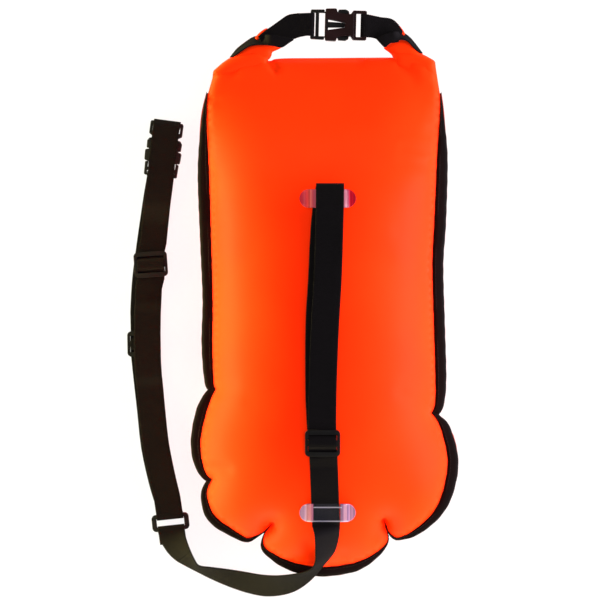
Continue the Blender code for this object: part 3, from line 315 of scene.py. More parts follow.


# Film colours along each tab, from its left end, as (share of its length, colour, cover): the film's own
# tint over the skin, with painted highlights on its ridges and painted shade between them
UPPER_FILM = make_film("clear_film_upper", [
    (0.00, "A41828", 0.93), (0.045, "C0243A", 0.93), (0.080, "CC4452", 0.93), (0.115, "B02838", 0.93),
    (0.150, "962430", 0.93), (0.185, "8A242E", 0.93), (0.205, "A8505A", 0.93), (0.230, "A43A48", 0.92),
    (0.285, "C85468", 0.92), (0.310, "3A3A46", 0.14), (0.690, "3A3A46", 0.14), (0.775, "864452", 0.92),
    (0.788, "985460", 0.93), (0.822, "985460", 0.93), (0.836, "7C002A", 0.93), (0.866, "8A0830", 0.93),
    (0.876, "A2163B", 0.93), (0.892, "A20018", 0.93), (1.000, "96001C", 0.93),
])
# The lower tab also has two painted highlight lines, given last as (place across, reach)
LOWER_FILM = make_film("clear_film_lower", [
    (0.00, "705080", 0.92), (0.033, "947094", 0.92), (0.060, "9C78A0", 0.93), (0.120, "9C78A0", 0.93),
    (0.135, "70405E", 0.93), (0.156, "70405E", 0.92), (0.170, "985C7C", 0.90), (0.242, "885070", 0.88),
    (0.252, "3A3A46", 0.13), (0.722, "3A3A46", 0.13), (0.732, "7E5F78", 0.90), (0.770, "745470", 0.92),
    (0.790, "987080", 0.92), (0.835, "8C6474", 0.92), (0.850, "68486A", 0.92), (0.874, "8A6680", 0.92),
    (0.915, "90647C", 0.90), (1.000, "7C5874", 0.90),
], ((0.0052, 0.0128), (-0.0076, 0.0185)))


# Mesh helpers

MERGE = 0.000002


def linked(name, data):
    """A new object of the scene with this mesh, curve, lamp or camera."""
    item = bpy.data.objects.new(name, data)
    bpy.context.scene.collection.objects.link(item)
    return item


@contextmanager
def editing(mesh):
    """The mesh while it is edited. What was done is written back to it."""
    work = bmesh.new()
    work.from_mesh(mesh)
    yield work
    work.to_mesh(mesh)
    work.free()


def put(name, points, faces, finish_of, uvs):
    mesh = bpy.data.meshes.new(name)
    mesh.from_pydata([tuple(p) for p in points], [], faces)
    mesh.validate()
    layer = mesh.uv_layers.new(name="cut")
    for loop in mesh.loops:
        layer.data[loop.index].uv = uvs[loop.vertex_index]
    mesh.materials.append(finish_of)
    mesh.shade_smooth()
    return linked(name, mesh)


def evaluated(item):
    """A new mesh of the item as its modifiers leave it."""
    bpy.context.view_layer.update()
    return bpy.data.meshes.new_from_object(item.evaluated_get(bpy.context.evaluated_depsgraph_get()))


def apply_modifiers(item):
    made = evaluated(item)
    item.modifiers.clear()
    item.data = made


def thicken(item, thickness, offset):
    """Gives a sheet its thickness, behind it (offset -1) or to both sides (0)."""
    wall = item.modifiers.new("wall", "SOLIDIFY")
    wall.thickness, wall.offset = thickness, offset


def face_out(item):
    """Merges points that coincide and turns every face outwards."""
    with editing(item.data) as work:
        bmesh.ops.remove_doubles(work, verts=work.verts, dist=MERGE)
        bmesh.ops.recalc_face_normals(work, faces=work.faces)
    return item


def join(item, other):
    """Adds the other's mesh to the item's, with its own material."""
    first = len(item.data.materials)
    for material in other.data.materials:
        item.data.materials.append(material)
    with editing(item.data) as work:
        before = len(work.faces)
        work.from_mesh(other.data)
        work.faces.ensure_lookup_table()
        for face in work.faces[before:]:
            face.material_index += first
    bpy.data.objects.remove(other)
    return item


def tube_faces(rings, count):
    """Faces of a row of rings of that many points each, closed at both ends."""
    faces = [(n - count + i, n - count + (i + 1) % count, n + (i + 1) % count, n + i)
             for n in range(count, rings * count, count) for i in range(count)]
    last = rings * count - 1
    return faces + [tuple(range(count)), tuple(last - i for i in range(count))]


def triangulate(spots, count, more=()):
    """Triangles over the spots, inside the closed loop that the first of them make."""
    limits = [(k, (k + 1) % count) for k in range(count)] + list(more)
    verts, _, faces, _, _, _ = delaunay_2d_cdt(
        [Vector(p) for p in spots], limits, [list(range(count))], 1, 1e-6)
    return np.array([tuple(v) for v in verts]), [tuple(f) for f in faces]


def hand_over(item, node_name, body):
    """The item rides with that body in place of the node."""
    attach(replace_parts(item, node_name), body)
    return item


def smooth_path(points, steps):
    ring = [points[0]] + list(points) + [points[-1]]
    made = []
    for a, b, c, d in zip(ring, ring[1:], ring[2:], ring[3:]):
        for k in range(steps):
            t = k / steps
            made.append(tuple(
                0.5 * (2 * q + (r - p) * t + (2 * p - 5 * q + 4 * r - s) * t * t
                       + (3 * q - p - 3 * r + s) * t ** 3)
                for p, q, r, s in zip(a, b, c, d)
            ))
    made.append(tuple(points[-1]))
    return made


def evenly(points, step):
    values = np.array(points, float)
    lengths = np.linalg.norm(np.diff(values[:, :3], axis=0), axis=1)
    along = np.concatenate([[0.0], np.cumsum(lengths)])
    wanted = np.linspace(0.0, along[-1], max(2, round(along[-1] / step)) + 1)
    return np.stack([np.interp(wanted, along, values[:, k]) for k in range(values.shape[1])], axis=1)


# Rows of small bars: the ribs of webbing, and stitches

BAR_VALUES = (("bar_way", "FLOAT_VECTOR"), ("bar_up", "FLOAT_VECTOR"), ("bar_span", "FLOAT"))
BAR_SIDES = 8


def make_bar_tree():
    """Small bars along a path: its attributes bar_way, bar_up and bar_span turn and lengthen each."""
    tree = bpy.data.node_groups.new("rows_of_bars", "GeometryNodeTree")
    sockets = {}
    tree.interface.new_socket("Geometry", in_out="INPUT", socket_type="NodeSocketGeometry")
    for label, kind in (("Pitch", "NodeSocketFloat"), ("Bar Length", "NodeSocketFloat"),
                        ("Bar Radius", "NodeSocketFloat"), ("Bar Height", "NodeSocketFloat"),
                        ("Finish", "NodeSocketMaterial")):
        sockets[label] = tree.interface.new_socket(label, in_out="INPUT", socket_type=kind).identifier
    tree.interface.new_socket("Geometry", in_out="OUTPUT", socket_type="NodeSocketGeometry")
    given, out = tree.nodes.new("NodeGroupInput"), tree.nodes.new("NodeGroupOutput")
    curve = node(tree, "GeometryNodeMeshToCurve", [(0, given.outputs["Geometry"])])
    spaced = node(tree, "GeometryNodeResampleCurve", [("Curve", curve.outputs[0]),
                                                      ("Length", given.outputs["Pitch"])], mode="LENGTH")
    bar = node(tree, "GeometryNodeMeshCylinder", [("Vertices", BAR_SIDES), ("Radius", 1.0), ("Depth", 1.0)])
    size = node(tree, "ShaderNodeCombineXYZ", [
        (k, given.outputs[label]) for k, label in enumerate(("Bar Height", "Bar Radius", "Bar Length"))])
    sized = node(tree, "GeometryNodeTransform", [("Geometry", bar.outputs[0]), ("Scale", size.outputs[0])])
    way, up, span = [
        node(tree, "GeometryNodeInputNamedAttribute", [("Name", label)], data_type=kind).outputs[0]
        for label, kind in BAR_VALUES]
    turn = node(tree, "FunctionNodeAxesToRotation", [(0, way), (1, up)],
                primary_axis="Z", secondary_axis="X")
    spread = node(tree, "ShaderNodeCombineXYZ", [(0, 1.0), (1, 1.0), (2, span)])
    placed_bars = node(tree, "GeometryNodeInstanceOnPoints", [
        ("Points", spaced.outputs[0]), ("Instance", sized.outputs[0]), ("Rotation", turn.outputs[0]),
        ("Scale", spread.outputs[0])])
    real = node(tree, "GeometryNodeRealizeInstances", [(0, placed_bars.outputs[0])])
    coloured = node(tree, "GeometryNodeSetMaterial", [("Geometry", real.outputs[0]),
                                                      ("Material", given.outputs["Finish"])])
    tree.links.new(coloured.outputs[0], out.inputs[0])
    return tree, sockets


BAR_TREE, BAR_SOCKETS = make_bar_tree()


def bars(name, centres, ways, ups, pitch, length, radius, height, finish_of, spans=None):
    """A plain mesh of small bars along the line of centres, each a share of the length long."""
    mesh = bpy.data.meshes.new(name)
    count = len(centres)
    mesh.from_pydata([tuple(c) for c in centres], [(k, k + 1) for k in range(count - 1)], [])
    spans = np.ones(count) if spans is None else spans
    for (label, kind), values in zip(BAR_VALUES, (ways, ups, spans)):
        layer = mesh.attributes.new(label, kind, "POINT")
        values = np.array([np.array(v) for v in values], np.float32).ravel()
        layer.data.foreach_set("value" if kind == "FLOAT" else "vector", values)
    item = linked(name, mesh)
    rows = item.modifiers.new("rows", "NODES")
    rows.node_group = BAR_TREE
    for label, value in (("Pitch", pitch), ("Bar Length", length), ("Bar Radius", radius),
                         ("Bar Height", height), ("Finish", finish_of)):
        rows[BAR_SOCKETS[label]] = value
    apply_modifiers(item)
    for label, _ in BAR_VALUES:
        if label in item.data.attributes:
            item.data.attributes.remove(item.data.attributes[label])
    if not item.data.uv_layers:
        item.data.uv_layers.new(name="cut")
    return item


# Webbing

RIB_PITCH = 0.0015
RIB_PROUD = 0.00005
RIB_SHARE = 0.36
CORDS = 16
# Webbing steeper than this share of level keeps the side it had
LEVEL_ENOUGH = 0.35


def webbing_profile():
    """Across the webbing, as shares of its half width and its thickness, with lengthwise cords."""
    top = [(-0.95 + 1.9 * k / (2 * CORDS), 0.5 if k % 2 else 0.41) for k in range(2 * CORDS + 1)]
    bottom = [(-a, -n) for a, n in top]
    return [(-1.0, 0.0), (-0.985, 0.34)] + top + [(0.985, 0.34), (1.0, 0.0), (0.985, -0.34)] + bottom + [
        (-0.985, -0.34)]


PROFILE = webbing_profile()


def edge_pairs(rows, steps=4):
    """Stations of webbing from the pixels and heights of its two edges."""
    edges = [tuple(spot(*row[:3])) + tuple(spot(*row[3:])) for row in rows]
    ends = [(Vector(v[:3]), Vector(v[3:])) for v in smooth_path(edges, steps)]
    return [((a + b) / 2, (b - a) / 2) for a, b in ends]


def flat_pairs(path, width):
    """Stations of webbing from a path, flat across its way."""
    centres = [Vector(p) for p in path]
    ways = [b - a for a, b in zip(centres, centres[1:])]
    level_way = next(w for w in ways if Vector(w[:2]).length > abs(w.z))
    side = Vector((-level_way.y, level_way.x, 0.0)).normalized()
    made = []
    for k, centre in enumerate(centres):
        ahead = centres[min(k + 1, len(centres) - 1)] - centres[max(k - 1, 0)]
        ahead.normalize()
        level = Vector((-ahead.y, ahead.x, 0.0))
        if level.length > LEVEL_ENOUGH:
            level.normalize()
            if level.dot(side) < 0:
                level.negate()
            side = level
        made.append((centre, side * width / 2))
    return made


def webbing(name, stations, step, ribs=True):
    """Woven webbing through the stations, each a centre and the vector to one edge."""
    rows = evenly([tuple(c) + tuple(h) for c, h in stations], step)
    centres = [Vector(r[:3]) for r in rows]
    points, uvs, ups, ways = [], [], [], []
    along = 0.0
    for k, (centre, row) in enumerate(zip(centres, rows)):
        half = Vector(row[3:])
        up = half.cross(centres[min(k + 1, len(rows) - 1)] - centres[max(k - 1, 0)])
        if up.length < 1e-12:
            up = ups[-1].copy() if ups else Vector((0, 0, 1))
        up.normalize()
        if (up.dot(ups[-1]) if ups else up.z) < 0:
            up.negate()
        ups.append(up)
        ways.append(half.normalized())
        if k:
            along += (centre - centres[k - 1]).length
        for a, n in PROFILE:
            points.append(centre + half * a + up * (n * WEB))
            uvs.append((a * half.length, along))
    item = face_out(put(name, points, tube_faces(len(rows), len(PROFILE)), WEBBING, uvs))
    if ribs:
        widths = np.linalg.norm(rows[:, 3:], axis=1) * 2
        join(item, bars(name + "_ribs", centres, ways, ups, RIB_PITCH, widths.mean() + 2 * RIB_PROUD,
                        RIB_PITCH * RIB_SHARE, WEB / 2 + RIB_PROUD, WEBBING, widths / widths.mean()))
    return item


# The skin of the bag

def seam_stations(step):
    """Weld line points (x, y, band width), evenly spaced, each pucker kept as a corner."""
    made = []
    for run in SEAM:
        spots = [(x * HALF_WIDTH, CENTRE_Y + y * HALF_LENGTH, w * BAND) for x, y, w in run]
        line = smooth_path([(x, y, 0.0, w) for x, y, w in spots], 10)
        line = [tuple(p) for p in evenly(line, step)]
        made += line if not made else line[1:]
    return [(x, y, w) for x, y, _, w in made]


def plan_normals(stations):
    spots = np.array([s[:2] for s in stations])
    ways = np.diff(spots, axis=0)
    ways /= np.linalg.norm(ways, axis=1)[:, None]
    both = np.vstack([ways[:1], ways[:-1] + ways[1:], ways[-1:]])
    both /= np.linalg.norm(both, axis=1)[:, None]
    return np.stack([both[:, 1], -both[:, 0]], axis=1)


STATIONS = seam_stations(0.0022)
NORMALS = plan_normals(STATIONS)
if NORMALS[5][0] > 0:
    NORMALS = -NORMALS
TOP_Y = CENTRE_Y + HALF_LENGTH * SEAM[0][0][1]


def inside_of(loop, xs, ys):
    hit = np.zeros(len(xs), bool)
    for (ax, ay), (bx, by) in zip(loop, np.roll(loop, -1, axis=0)):
        crosses = (ay > ys) != (by > ys)
        with np.errstate(divide="ignore", invalid="ignore"):
            side = xs < (bx - ax) * (ys - ay) / (by - ay) + ax
        hit ^= crosses & side
    return hit


def distance_to(loop, xs, ys, closed=True):
    """How far each point is from a line of points."""
    spots = np.stack([xs, ys], axis=1)
    best = np.full(len(xs), np.inf)
    ends = np.roll(loop, -1, axis=0) if closed else loop[1:]
    for a, b in zip(loop, ends):
        d = b - a
        t = np.clip(((spots - a) @ d) / max(d @ d, 1e-15), 0, 1)
        best = np.minimum(best, np.linalg.norm(spots - a - t[:, None] * d, axis=1))
    return best


def relax(points, triangles, fixed):
    """The membrane that a steady pressure lifts, held at zero where fixed."""
    size = len(points)
    tri = np.array(triangles)
    p = points[tri]
    ways = np.stack([p[:, 2] - p[:, 1], p[:, 0] - p[:, 2], p[:, 1] - p[:, 0]], axis=1)
    area = np.abs(ways[:, 0, 0] * ways[:, 1, 1] - ways[:, 0, 1] * ways[:, 1, 0]) / 2
    area = np.maximum(area, 1e-14)
    load = np.bincount(tri.ravel(), np.repeat(area / 3, 3), size)
    rows, columns, values = [], [], []
    for i in range(3):
        for j in range(3):
            rows.append(tri[:, i])
            columns.append(tri[:, j])
            values.append((ways[:, i] * ways[:, j]).sum(1) / (4 * area))
    rows, columns, values = map(np.concatenate, (rows, columns, values))
    free = ~fixed
    diagonal = np.bincount(rows[rows == columns], values[rows == columns], size)
    diagonal[diagonal <= 0] = 1.0

    def times(v):
        return np.bincount(rows, values * v[columns], size)

    answer = np.zeros(size)
    left = np.where(free, load, 0.0)
    step = np.where(free, left / diagonal, 0.0)
    way = step.copy()
    rate = left @ step
    for _ in range(600):
        moved = np.where(free, times(way), 0.0)
        share = rate / max(way @ moved, 1e-30)
        answer += share * way
        left -= share * moved
        step = np.where(free, left / diagonal, 0.0)
        fresh = left @ step
        if fresh < 1e-18:
            break
        way = step + way * (fresh / rate)
        rate = fresh
    return answer


# The plan's mesh: rows of evenly spaced points, over this half width and half height, moved down
ROW_SHARE = 0.866
PLAN_HALF_X, PLAN_HALF_Y, PLAN_DOWN = 0.126, 0.26, 0.02
# How near its edge and the mouth's weld the inner points may lie, as shares of the grid
EDGE_SHARE, WELD_SHARE = 0.55, 0.5
ABOVE_WELD = 0.002
WAIST_POINTS = 50


class Plan:
    """The bag's plan, triangulated, with the lift of each point over the weld."""

    def __init__(self):
        seam = np.array([s[:2] for s in STATIONS])
        upper = smooth_path([tuple(spot(u, v, WELD)) for u, v in MOUTH_EDGE], 3)
        upper = evenly(upper, 0.003)[:, :2]
        mouth = upper[upper[:, 1] > TOP_Y + ABOVE_WELD]
        self.loop = np.vstack([seam, mouth])
        self.seam_count = len(seam)
        loop, count = self.loop, len(self.loop)
        cross = np.linspace(0, 1, WAIST_POINTS)[1:-1, None]
        waist = seam[-1] * (1 - cross) + seam[0] * cross
        rows = int(PLAN_HALF_Y / (GRID * ROW_SHARE))
        xs, ys = [], []
        for row in range(-rows, rows + 1):
            x = np.arange(-PLAN_HALF_X, PLAN_HALF_X + 0.001, GRID) + (row % 2) * GRID / 2
            xs.append(x)
            ys.append(np.full(len(x), row * GRID * ROW_SHARE - PLAN_DOWN))
        xs, ys = np.concatenate(xs), np.concatenate(ys)
        good = inside_of(loop, xs, ys)
        xs, ys = xs[good], ys[good]
        far = (distance_to(loop, xs, ys) > GRID * EDGE_SHARE) & (np.abs(ys - TOP_Y) > GRID * WELD_SHARE)
        inner = np.stack([xs[far], ys[far]], axis=1)
        chain = [len(seam) - 1] + [count + k for k in range(len(waist))] + [0]
        self.points, self.faces = triangulate(np.vstack([loop, waist, inner]), count, zip(chain, chain[1:]))
        middles = self.points[np.array(self.faces)].mean(axis=1)
        self.in_panel = middles[:, 1] < TOP_Y
        self.edge = distance_to(loop, *self.points.T)
        self.rim = self.edge < 1e-5
        fixed = self.rim | (self.points[:, 1] > TOP_Y - 1e-5)
        tri = [f for f, ok in zip(self.faces, self.in_panel) if ok]
        lift = relax(self.points, tri, fixed)
        way = np.clip((TOP_Y - self.points[:, 1]) / END_TAPER, 0, 1)
        self.share = np.sqrt(2 * np.maximum(lift, 0.0)) * (1 - (1 - way) ** 2)
        self.share /= self.share.max()
        sides = np.array(self.faces)
        sides = np.sort(np.concatenate([sides[:, [0, 1]], sides[:, [1, 2]], sides[:, [2, 0]]]), axis=1)
        self.sides = np.unique(sides, axis=0)

    def even_out(self, heights, looseness, rounds):
        """Heights of cloth drawn towards their neighbours' mean, as far as each is loose."""
        a, b = self.sides.T
        count = len(heights)
        shared = np.bincount(a, minlength=count) + np.bincount(b, minlength=count)
        for _ in range(rounds):
            near = np.bincount(a, heights[b], count) + np.bincount(b, heights[a], count)
            heights = heights + looseness * (near / np.maximum(shared, 1) - heights)
        return heights


PLAN = Plan()


def band_of(value, low, high):
    t = np.clip((value - low) / (high - low), 0, 1)
    return t * t * (3 - 2 * t)


# Small folds of the front skin: the two ends in pixels, its half width and depth in metres
FOLDS = [
    (270.6, 62.0, 276.0, 67.5, 0.0030, -0.0042), (262.0, 60.0, 270.0, 70.0, 0.0060, 0.0012),
    (396.0, 129.0, 440.0, 131.0, 0.0034, -0.0009), (404.0, 146.0, 440.0, 152.0, 0.0036, -0.0012),
    (402.0, 160.0, 438.0, 168.0, 0.0036, -0.0011), (398.0, 231.0, 444.0, 243.0, 0.0048, -0.0010),
    (396.0, 258.0, 440.0, 258.0, 0.0050, 0.0007), (406.0, 330.0, 440.0, 336.0, 0.0050, -0.0008),
    (401.0, 393.0, 430.0, 409.0, 0.0050, -0.0016), (408.0, 382.0, 436.0, 384.0, 0.0070, -0.0010),
    (232.0, 386.0, 206.0, 397.0, 0.0050, -0.0014), (240.0, 402.0, 208.0, 399.0, 0.0050, 0.0010),
    (276.0, 521.0, 268.0, 527.0, 0.0040, -0.0030), (344.0, 557.0, 343.0, 563.0, 0.0026, -0.0040),
    (214.0, 468.0, 226.0, 470.0, 0.0045, -0.0040),
    (309.0, 545.0, 318.0, 562.0, 0.0050, -0.0016), (372.0, 552.0, 376.0, 536.0, 0.0050, -0.0016),
    (411.0, 59.5, 424.0, 66.5, 0.0035, 0.0016), (405.0, 62.0, 415.0, 76.0, 0.0055, -0.0012),
    (227.0, 66.0, 231.0, 70.0, 0.0050, -0.0016), (432.0, 100.0, 424.0, 128.0, 0.0070, 0.0006),
]


FOLD_LEVEL, FOLD_EDGE = 0.12, 0.004
RIPPLE, RIPPLE_EDGE = 0.00022, 0.010

# From where to where, along y, the roll softens, the roll and the shoulder rise and the skin is loose
SOFT_SPAN = (TOP_Y, TOP_Y + 0.018)
ROLL_SPAN = (TOP_Y - 0.040, TOP_Y - 0.004)
SHOULDER_SPAN = (TOP_Y - 0.090, TOP_Y + 0.006)
LOOSE_SPAN = (TOP_Y - 0.080, TOP_Y - 0.050)
LOOSE_EDGE = (0.004, 0.018)
LOOSENESS, LOOSE_ROUNDS = 0.5, 70
FLANGE_END, FLANGE_FADE = TOP_Y + 0.004, 0.02


def front_height(points, edge, share):
    """Height of the front skin at plan points."""
    x, y = points.T
    lift = (FRONT_RISE - FLANGE) * share
    soft = ROLL_SOFT + (SHOULDER_SOFT - ROLL_SOFT) * band_of(y, *SOFT_SPAN)
    roll = SHOULDER_LIFT * np.sqrt(1 - (1 - np.clip(edge / soft, 0, 1)) ** 2)
    roll *= band_of(y, *ROLL_SPAN)
    roll += SHOULDER * np.maximum(edge - ROLL_SOFT, 0) * band_of(y, *SHOULDER_SPAN)
    z = WELD + FLANGE * band_of(FLANGE_END - y, 0, FLANGE_FADE) + (lift ** 3 + roll ** 3) ** (1 / 3)
    z = PLAN.even_out(z, LOOSENESS * band_of(y, *LOOSE_SPAN) * band_of(edge, *LOOSE_EDGE), LOOSE_ROUNDS)
    for u1, v1, u2, v2, wide, deep in FOLDS:
        ends = np.array([tuple(spot(u, v, FOLD_LEVEL))[:2] for u, v in ((u1, v1), (u2, v2))])
        away = distance_to(ends, x, y, closed=False)
        z = z + deep * np.exp(-(away / wide) ** 2) * np.clip(edge / FOLD_EDGE, 0, 1)
    ripple = RIPPLE * np.sin(x * 61.0 + 2.0 * np.sin(y * 23.0)) * np.sin(y * 47.0 + 1.5)
    return z + ripple * np.clip(edge / RIPPLE_EDGE, 0, 1)


def skin_mesh(name, heights, keep, finish_of, extra=None):
    """A skin over the plan's kept triangles, with a flange out under the band."""
    points = [(x, y, z) for (x, y), z in zip(PLAN.points, heights)]
    faces = [f for f, ok in zip(PLAN.faces, keep) if ok]
    start = len(points)
    count = PLAN.seam_count
    for k in range(count):
        reach = max(STATIONS[k][2] - 2 * BAND_WALL, BAND_WALL)
        x, y = np.array(STATIONS[k][:2]) + NORMALS[k] * reach
        points.append((x, y, heights[k]))
    faces += [(k, k + 1, start + k + 1, start + k) for k in range(count - 1)]
    if extra:
        more, more_faces = extra(len(points))
        points += more
        faces += more_faces
    uvs = [(p[0], p[1]) for p in points]
    return put(name, points, faces, finish_of, uvs)


def roll_back(start):
    """The back of the rolled mouth, from its edge round to the back skin."""
    points, index, faces = [], {}, []
    for f, panel in zip(PLAN.faces, PLAN.in_panel):
        if panel:
            continue
        loop = []
        for i in f:
            if PLAN.rim[i]:
                loop.append(i)
                continue
            if i not in index:
                index[i] = start + len(points)
                x, y = PLAN.points[i]
                deep = np.clip(PLAN.edge[i] / ROLL_SOFT, 0, 1)
                points.append((x, y, WELD - ROLL_LIFT * math.sqrt(1 - (1 - deep) ** 2)))
            loop.append(index[i])
        faces.append(tuple(reversed(loop)))
    return points, faces


def orient(item, sign):
    """Turns the whole skin so that its main face looks up (1) or down (-1)."""
    with editing(item.data) as work:
        bmesh.ops.recalc_face_normals(work, faces=work.faces)
        main = [f for f in work.faces if abs(f.normal.z) > 0.9 and f.calc_center_median().y < 0.1]
        if sum(f.normal.z for f in main) * sign < 0:
            bmesh.ops.reverse_faces(work, faces=work.faces)


def finish_skin(item, sign):
    """Turns a skin the right way and gives it the cloth's thickness."""
    orient(item, sign)
    thicken(item, SKIN, -1.0)
    apply_modifiers(item)
    item.data.shade_smooth()
    return item


def make_front():
    heights = front_height(PLAN.points, PLAN.edge, PLAN.share)
    heights[PLAN.rim & (PLAN.points[:, 1] < TOP_Y)] = WELD + FLANGE
    keep = np.ones(len(PLAN.faces), bool)
    return finish_skin(skin_mesh("front_skin", heights, keep, ORANGE, roll_back), 1)


VALVE = Vector((0.045, 0.135))
VALVE_PAD = 0.0200
VALVE_HOLE = 0.0065
# How far over the floor the back skin starts to bend away from it, and where it lies flat
FLOOR_SOFT = 0.0030
FLOOR_GAP = 0.0004


def make_back():
    """The skin that the bag lies on, flat where it meets the floor."""
    x, y = PLAN.points.T
    depth = BACK_DEPTH - FLANGE
    z = WELD - FLANGE - depth * PLAN.share
    z = np.where(z < FLOOR_SOFT, FLOOR_SOFT * np.exp(np.minimum((z - FLOOR_SOFT) / FLOOR_SOFT, 0)), z)
    z = np.where(z < 2 * FLOOR_GAP, FLOOR_GAP, z)
    away = np.hypot(x - VALVE.x, y - VALVE.y)
    near = away < VALVE_PAD
    system = np.stack([x[near] - VALVE.x, y[near] - VALVE.y, np.ones(near.sum())], axis=1)
    slope_x, slope_y, middle = np.linalg.lstsq(system, z[near], rcond=None)[0]
    flat = middle + slope_x * (x - VALVE.x) + slope_y * (y - VALVE.y)
    hold = 1 - band_of(away, VALVE_PAD * 0.8, VALVE_PAD * 1.5)
    z = z * (1 - hold) + flat * hold
    z[PLAN.rim] = WELD - FLANGE
    keep = PLAN.in_panel.copy()
    middles = PLAN.points[np.array(PLAN.faces)].mean(axis=1)
    keep &= np.hypot(middles[:, 0] - VALVE.x, middles[:, 1] - VALVE.y) > VALVE_HOLE
    item = skin_mesh("back_skin", z, keep, ORANGE)
    with editing(item.data) as work:
        bmesh.ops.delete(work, geom=[v for v in work.verts if not v.link_faces], context="VERTS")
    return finish_skin(item, -1)


STITCH_PITCH, STITCH_LENGTH, STITCH_RADIUS = 0.0030, 0.0021, 0.00020
# The row of stitches: its share of the tape's width, least distance from the weld, and level
STITCH_SHARE, STITCH_LEAST, STITCH_LEVEL = 0.30, 0.0012, 1.02
# The tape's uneven edge and its slow sway: depth, and turns to a metre in radians
RAGGED, RAGGED_TURNS = 0.00012, 2400.0
SWAY, SWAY_TURNS = 0.0003, 74.0
# The tape's thickness where it is gathered to nothing, as a share of the whole
GATHERED = 0.86


def make_binding():
    """Woven tape folded over the welded seam, its edges a little uneven, sewn along."""
    profile = [
        (0.00, 0.82), (0.05, 1.00), (0.35, 1.04), (0.70, 1.00), (0.88, 0.82), (0.97, 0.45), (1.00, 0.0),
        (0.97, -0.45), (0.88, -0.82), (0.70, -1.00), (0.35, -1.04), (0.05, -1.00), (0.00, -0.82),
        (0.00, -0.62), (0.70, -0.60), (0.82, 0.0), (0.70, 0.60), (0.00, 0.62),
    ]
    points, uvs, rows = [], [], []
    along = 0.0
    for k, (station, way) in enumerate(zip(STATIONS, NORMALS)):
        base = np.array(station[:2])
        if k:
            along += float(np.linalg.norm(base - np.array(STATIONS[k - 1][:2])))
        width = max(station[2], 1.25 * BAND_WALL)
        full = min(width / BAND, 1)
        ragged = RAGGED * math.sin(along * RAGGED_TURNS)
        sway = SWAY * math.sin(along * SWAY_TURNS) * full
        for out, n in profile:
            x, y = base + way * (SEAT + ragged + (width - SEAT) * out)
            points.append((x, y, WELD + BAND_HALF * n * (GATHERED + (1 - GATHERED) * full) + sway))
            uvs.append((out * width, along))
        x, y = base + way * max(station[2] * STITCH_SHARE, STITCH_LEAST)
        rows.append(Vector((x, y, WELD + BAND_HALF * STITCH_LEVEL)))
    item = face_out(put("binding_tape", points, tube_faces(len(STATIONS), len(profile)), BINDING, uvs))
    rows = evenly(rows, STITCH_PITCH / 2)
    ways = [Vector(rows[min(k + 1, len(rows) - 1)]) - Vector(rows[max(k - 1, 0)]) for k in range(len(rows))]
    return join(item, bars("binding_stitches", rows, [w.normalized() for w in ways], [(0, 0, 1)] * len(rows),
                           STITCH_PITCH, STITCH_LENGTH, STITCH_RADIUS, STITCH_RADIUS, STITCH))


def pillow(name, outline, middle, half, soft, grid):
    """A soft flattened roll of cloth inside an outline of pixels, at a height."""
    loop = evenly(smooth_path([tuple(spot(u, v, middle)) for u, v in outline + outline[:1]], 4), 0.0016)
    loop = loop[:-1, :2]
    low, high = loop.min(0), loop.max(0)
    xs, ys = np.meshgrid(np.arange(low[0], high[0], grid), np.arange(low[1], high[1], grid))
    xs, ys = xs.ravel(), ys.ravel()
    good = inside_of(loop, xs, ys)
    xs, ys = xs[good], ys[good]
    good = distance_to(loop, xs, ys) > grid * 0.45
    spots = np.vstack([loop, np.stack([xs[good], ys[good]], axis=1)])
    flat, faces = triangulate(spots, len(loop))
    edge = distance_to(loop, *flat.T)
    rise = half * np.sqrt(1 - (1 - np.clip(edge / soft, 0, 1)) ** 2)
    points = [(x, y, middle + r) for (x, y), r in zip(flat, rise)]
    index = {}
    for i, (x, y) in enumerate(flat):
        if edge[i] > 1e-6:
            index[i] = len(points)
            points.append((x, y, middle - rise[i]))
    lower = [tuple(reversed([index.get(i, i) for i in f])) for f in faces]
    uvs = [(p[0], p[1]) for p in points]
    return face_out(put(name, points, faces + lower, ORANGE, uvs))


# Hardware

ROUND_ANGLE, SHARP_ANGLE = math.radians(35), math.radians(38)


def flat_outline(name, loops, thickness, finish_of):
    """A plate of that thickness inside the first loop, with the others cut through it."""
    curve = bpy.data.curves.new(name, "CURVE")
    curve.dimensions = "2D"
    curve.fill_mode = "BOTH"
    curve.extrude = thickness / 2
    for loop in loops:
        spline = curve.splines.new("POLY")
        spline.points.add(len(loop) - 1)
        for point, (x, y) in zip(spline.points, loop):
            point.co = (x, y, 0.0, 1.0)
        spline.use_cyclic_u = True
    source = linked(name + "_outline", curve)
    mesh = evaluated(source)
    bpy.data.objects.remove(source, do_unlink=True)
    with editing(mesh) as work:
        bmesh.ops.remove_doubles(work, verts=work.verts, dist=0.00002)
        bmesh.ops.dissolve_limit(work, angle_limit=math.radians(1), verts=work.verts, edges=work.edges)
        bmesh.ops.recalc_face_normals(work, faces=work.faces)
    mesh.materials.clear()
    mesh.materials.append(finish_of)
    return linked(name, mesh)


def round_edges(item, width, segments):
    soft = item.modifiers.new("rounded", "BEVEL")
    soft.width, soft.segments = width, segments
    soft.limit_method, soft.angle_limit = "ANGLE", ROUND_ANGLE


def cut(item, low, high):
    """Cuts a box out of the item."""
    low, high = Vector(low), Vector(high)
    mesh = bpy.data.meshes.new("cut")
    with editing(mesh) as work:
        bmesh.ops.create_cube(work, size=1.0)
        for vert in work.verts:
            vert.co = Vector(c * s + m for c, s, m in zip(vert.co, high - low, (high + low) / 2))
    cut_with(item, linked("cut", mesh))


def cut_with(item, cutter):
    change = item.modifiers.new("cut", "BOOLEAN")
    change.operation, change.solver, change.object = "DIFFERENCE", "EXACT", cutter
    apply_modifiers(item)
    bpy.data.objects.remove(cutter, do_unlink=True)


def settle(item, place):
    """Puts the finished mesh in its place, with the object left at the origin."""
    apply_modifiers(item)
    item.data.transform(place)
    item.data.set_sharp_from_angle(angle=SHARP_ANGLE)
    return item


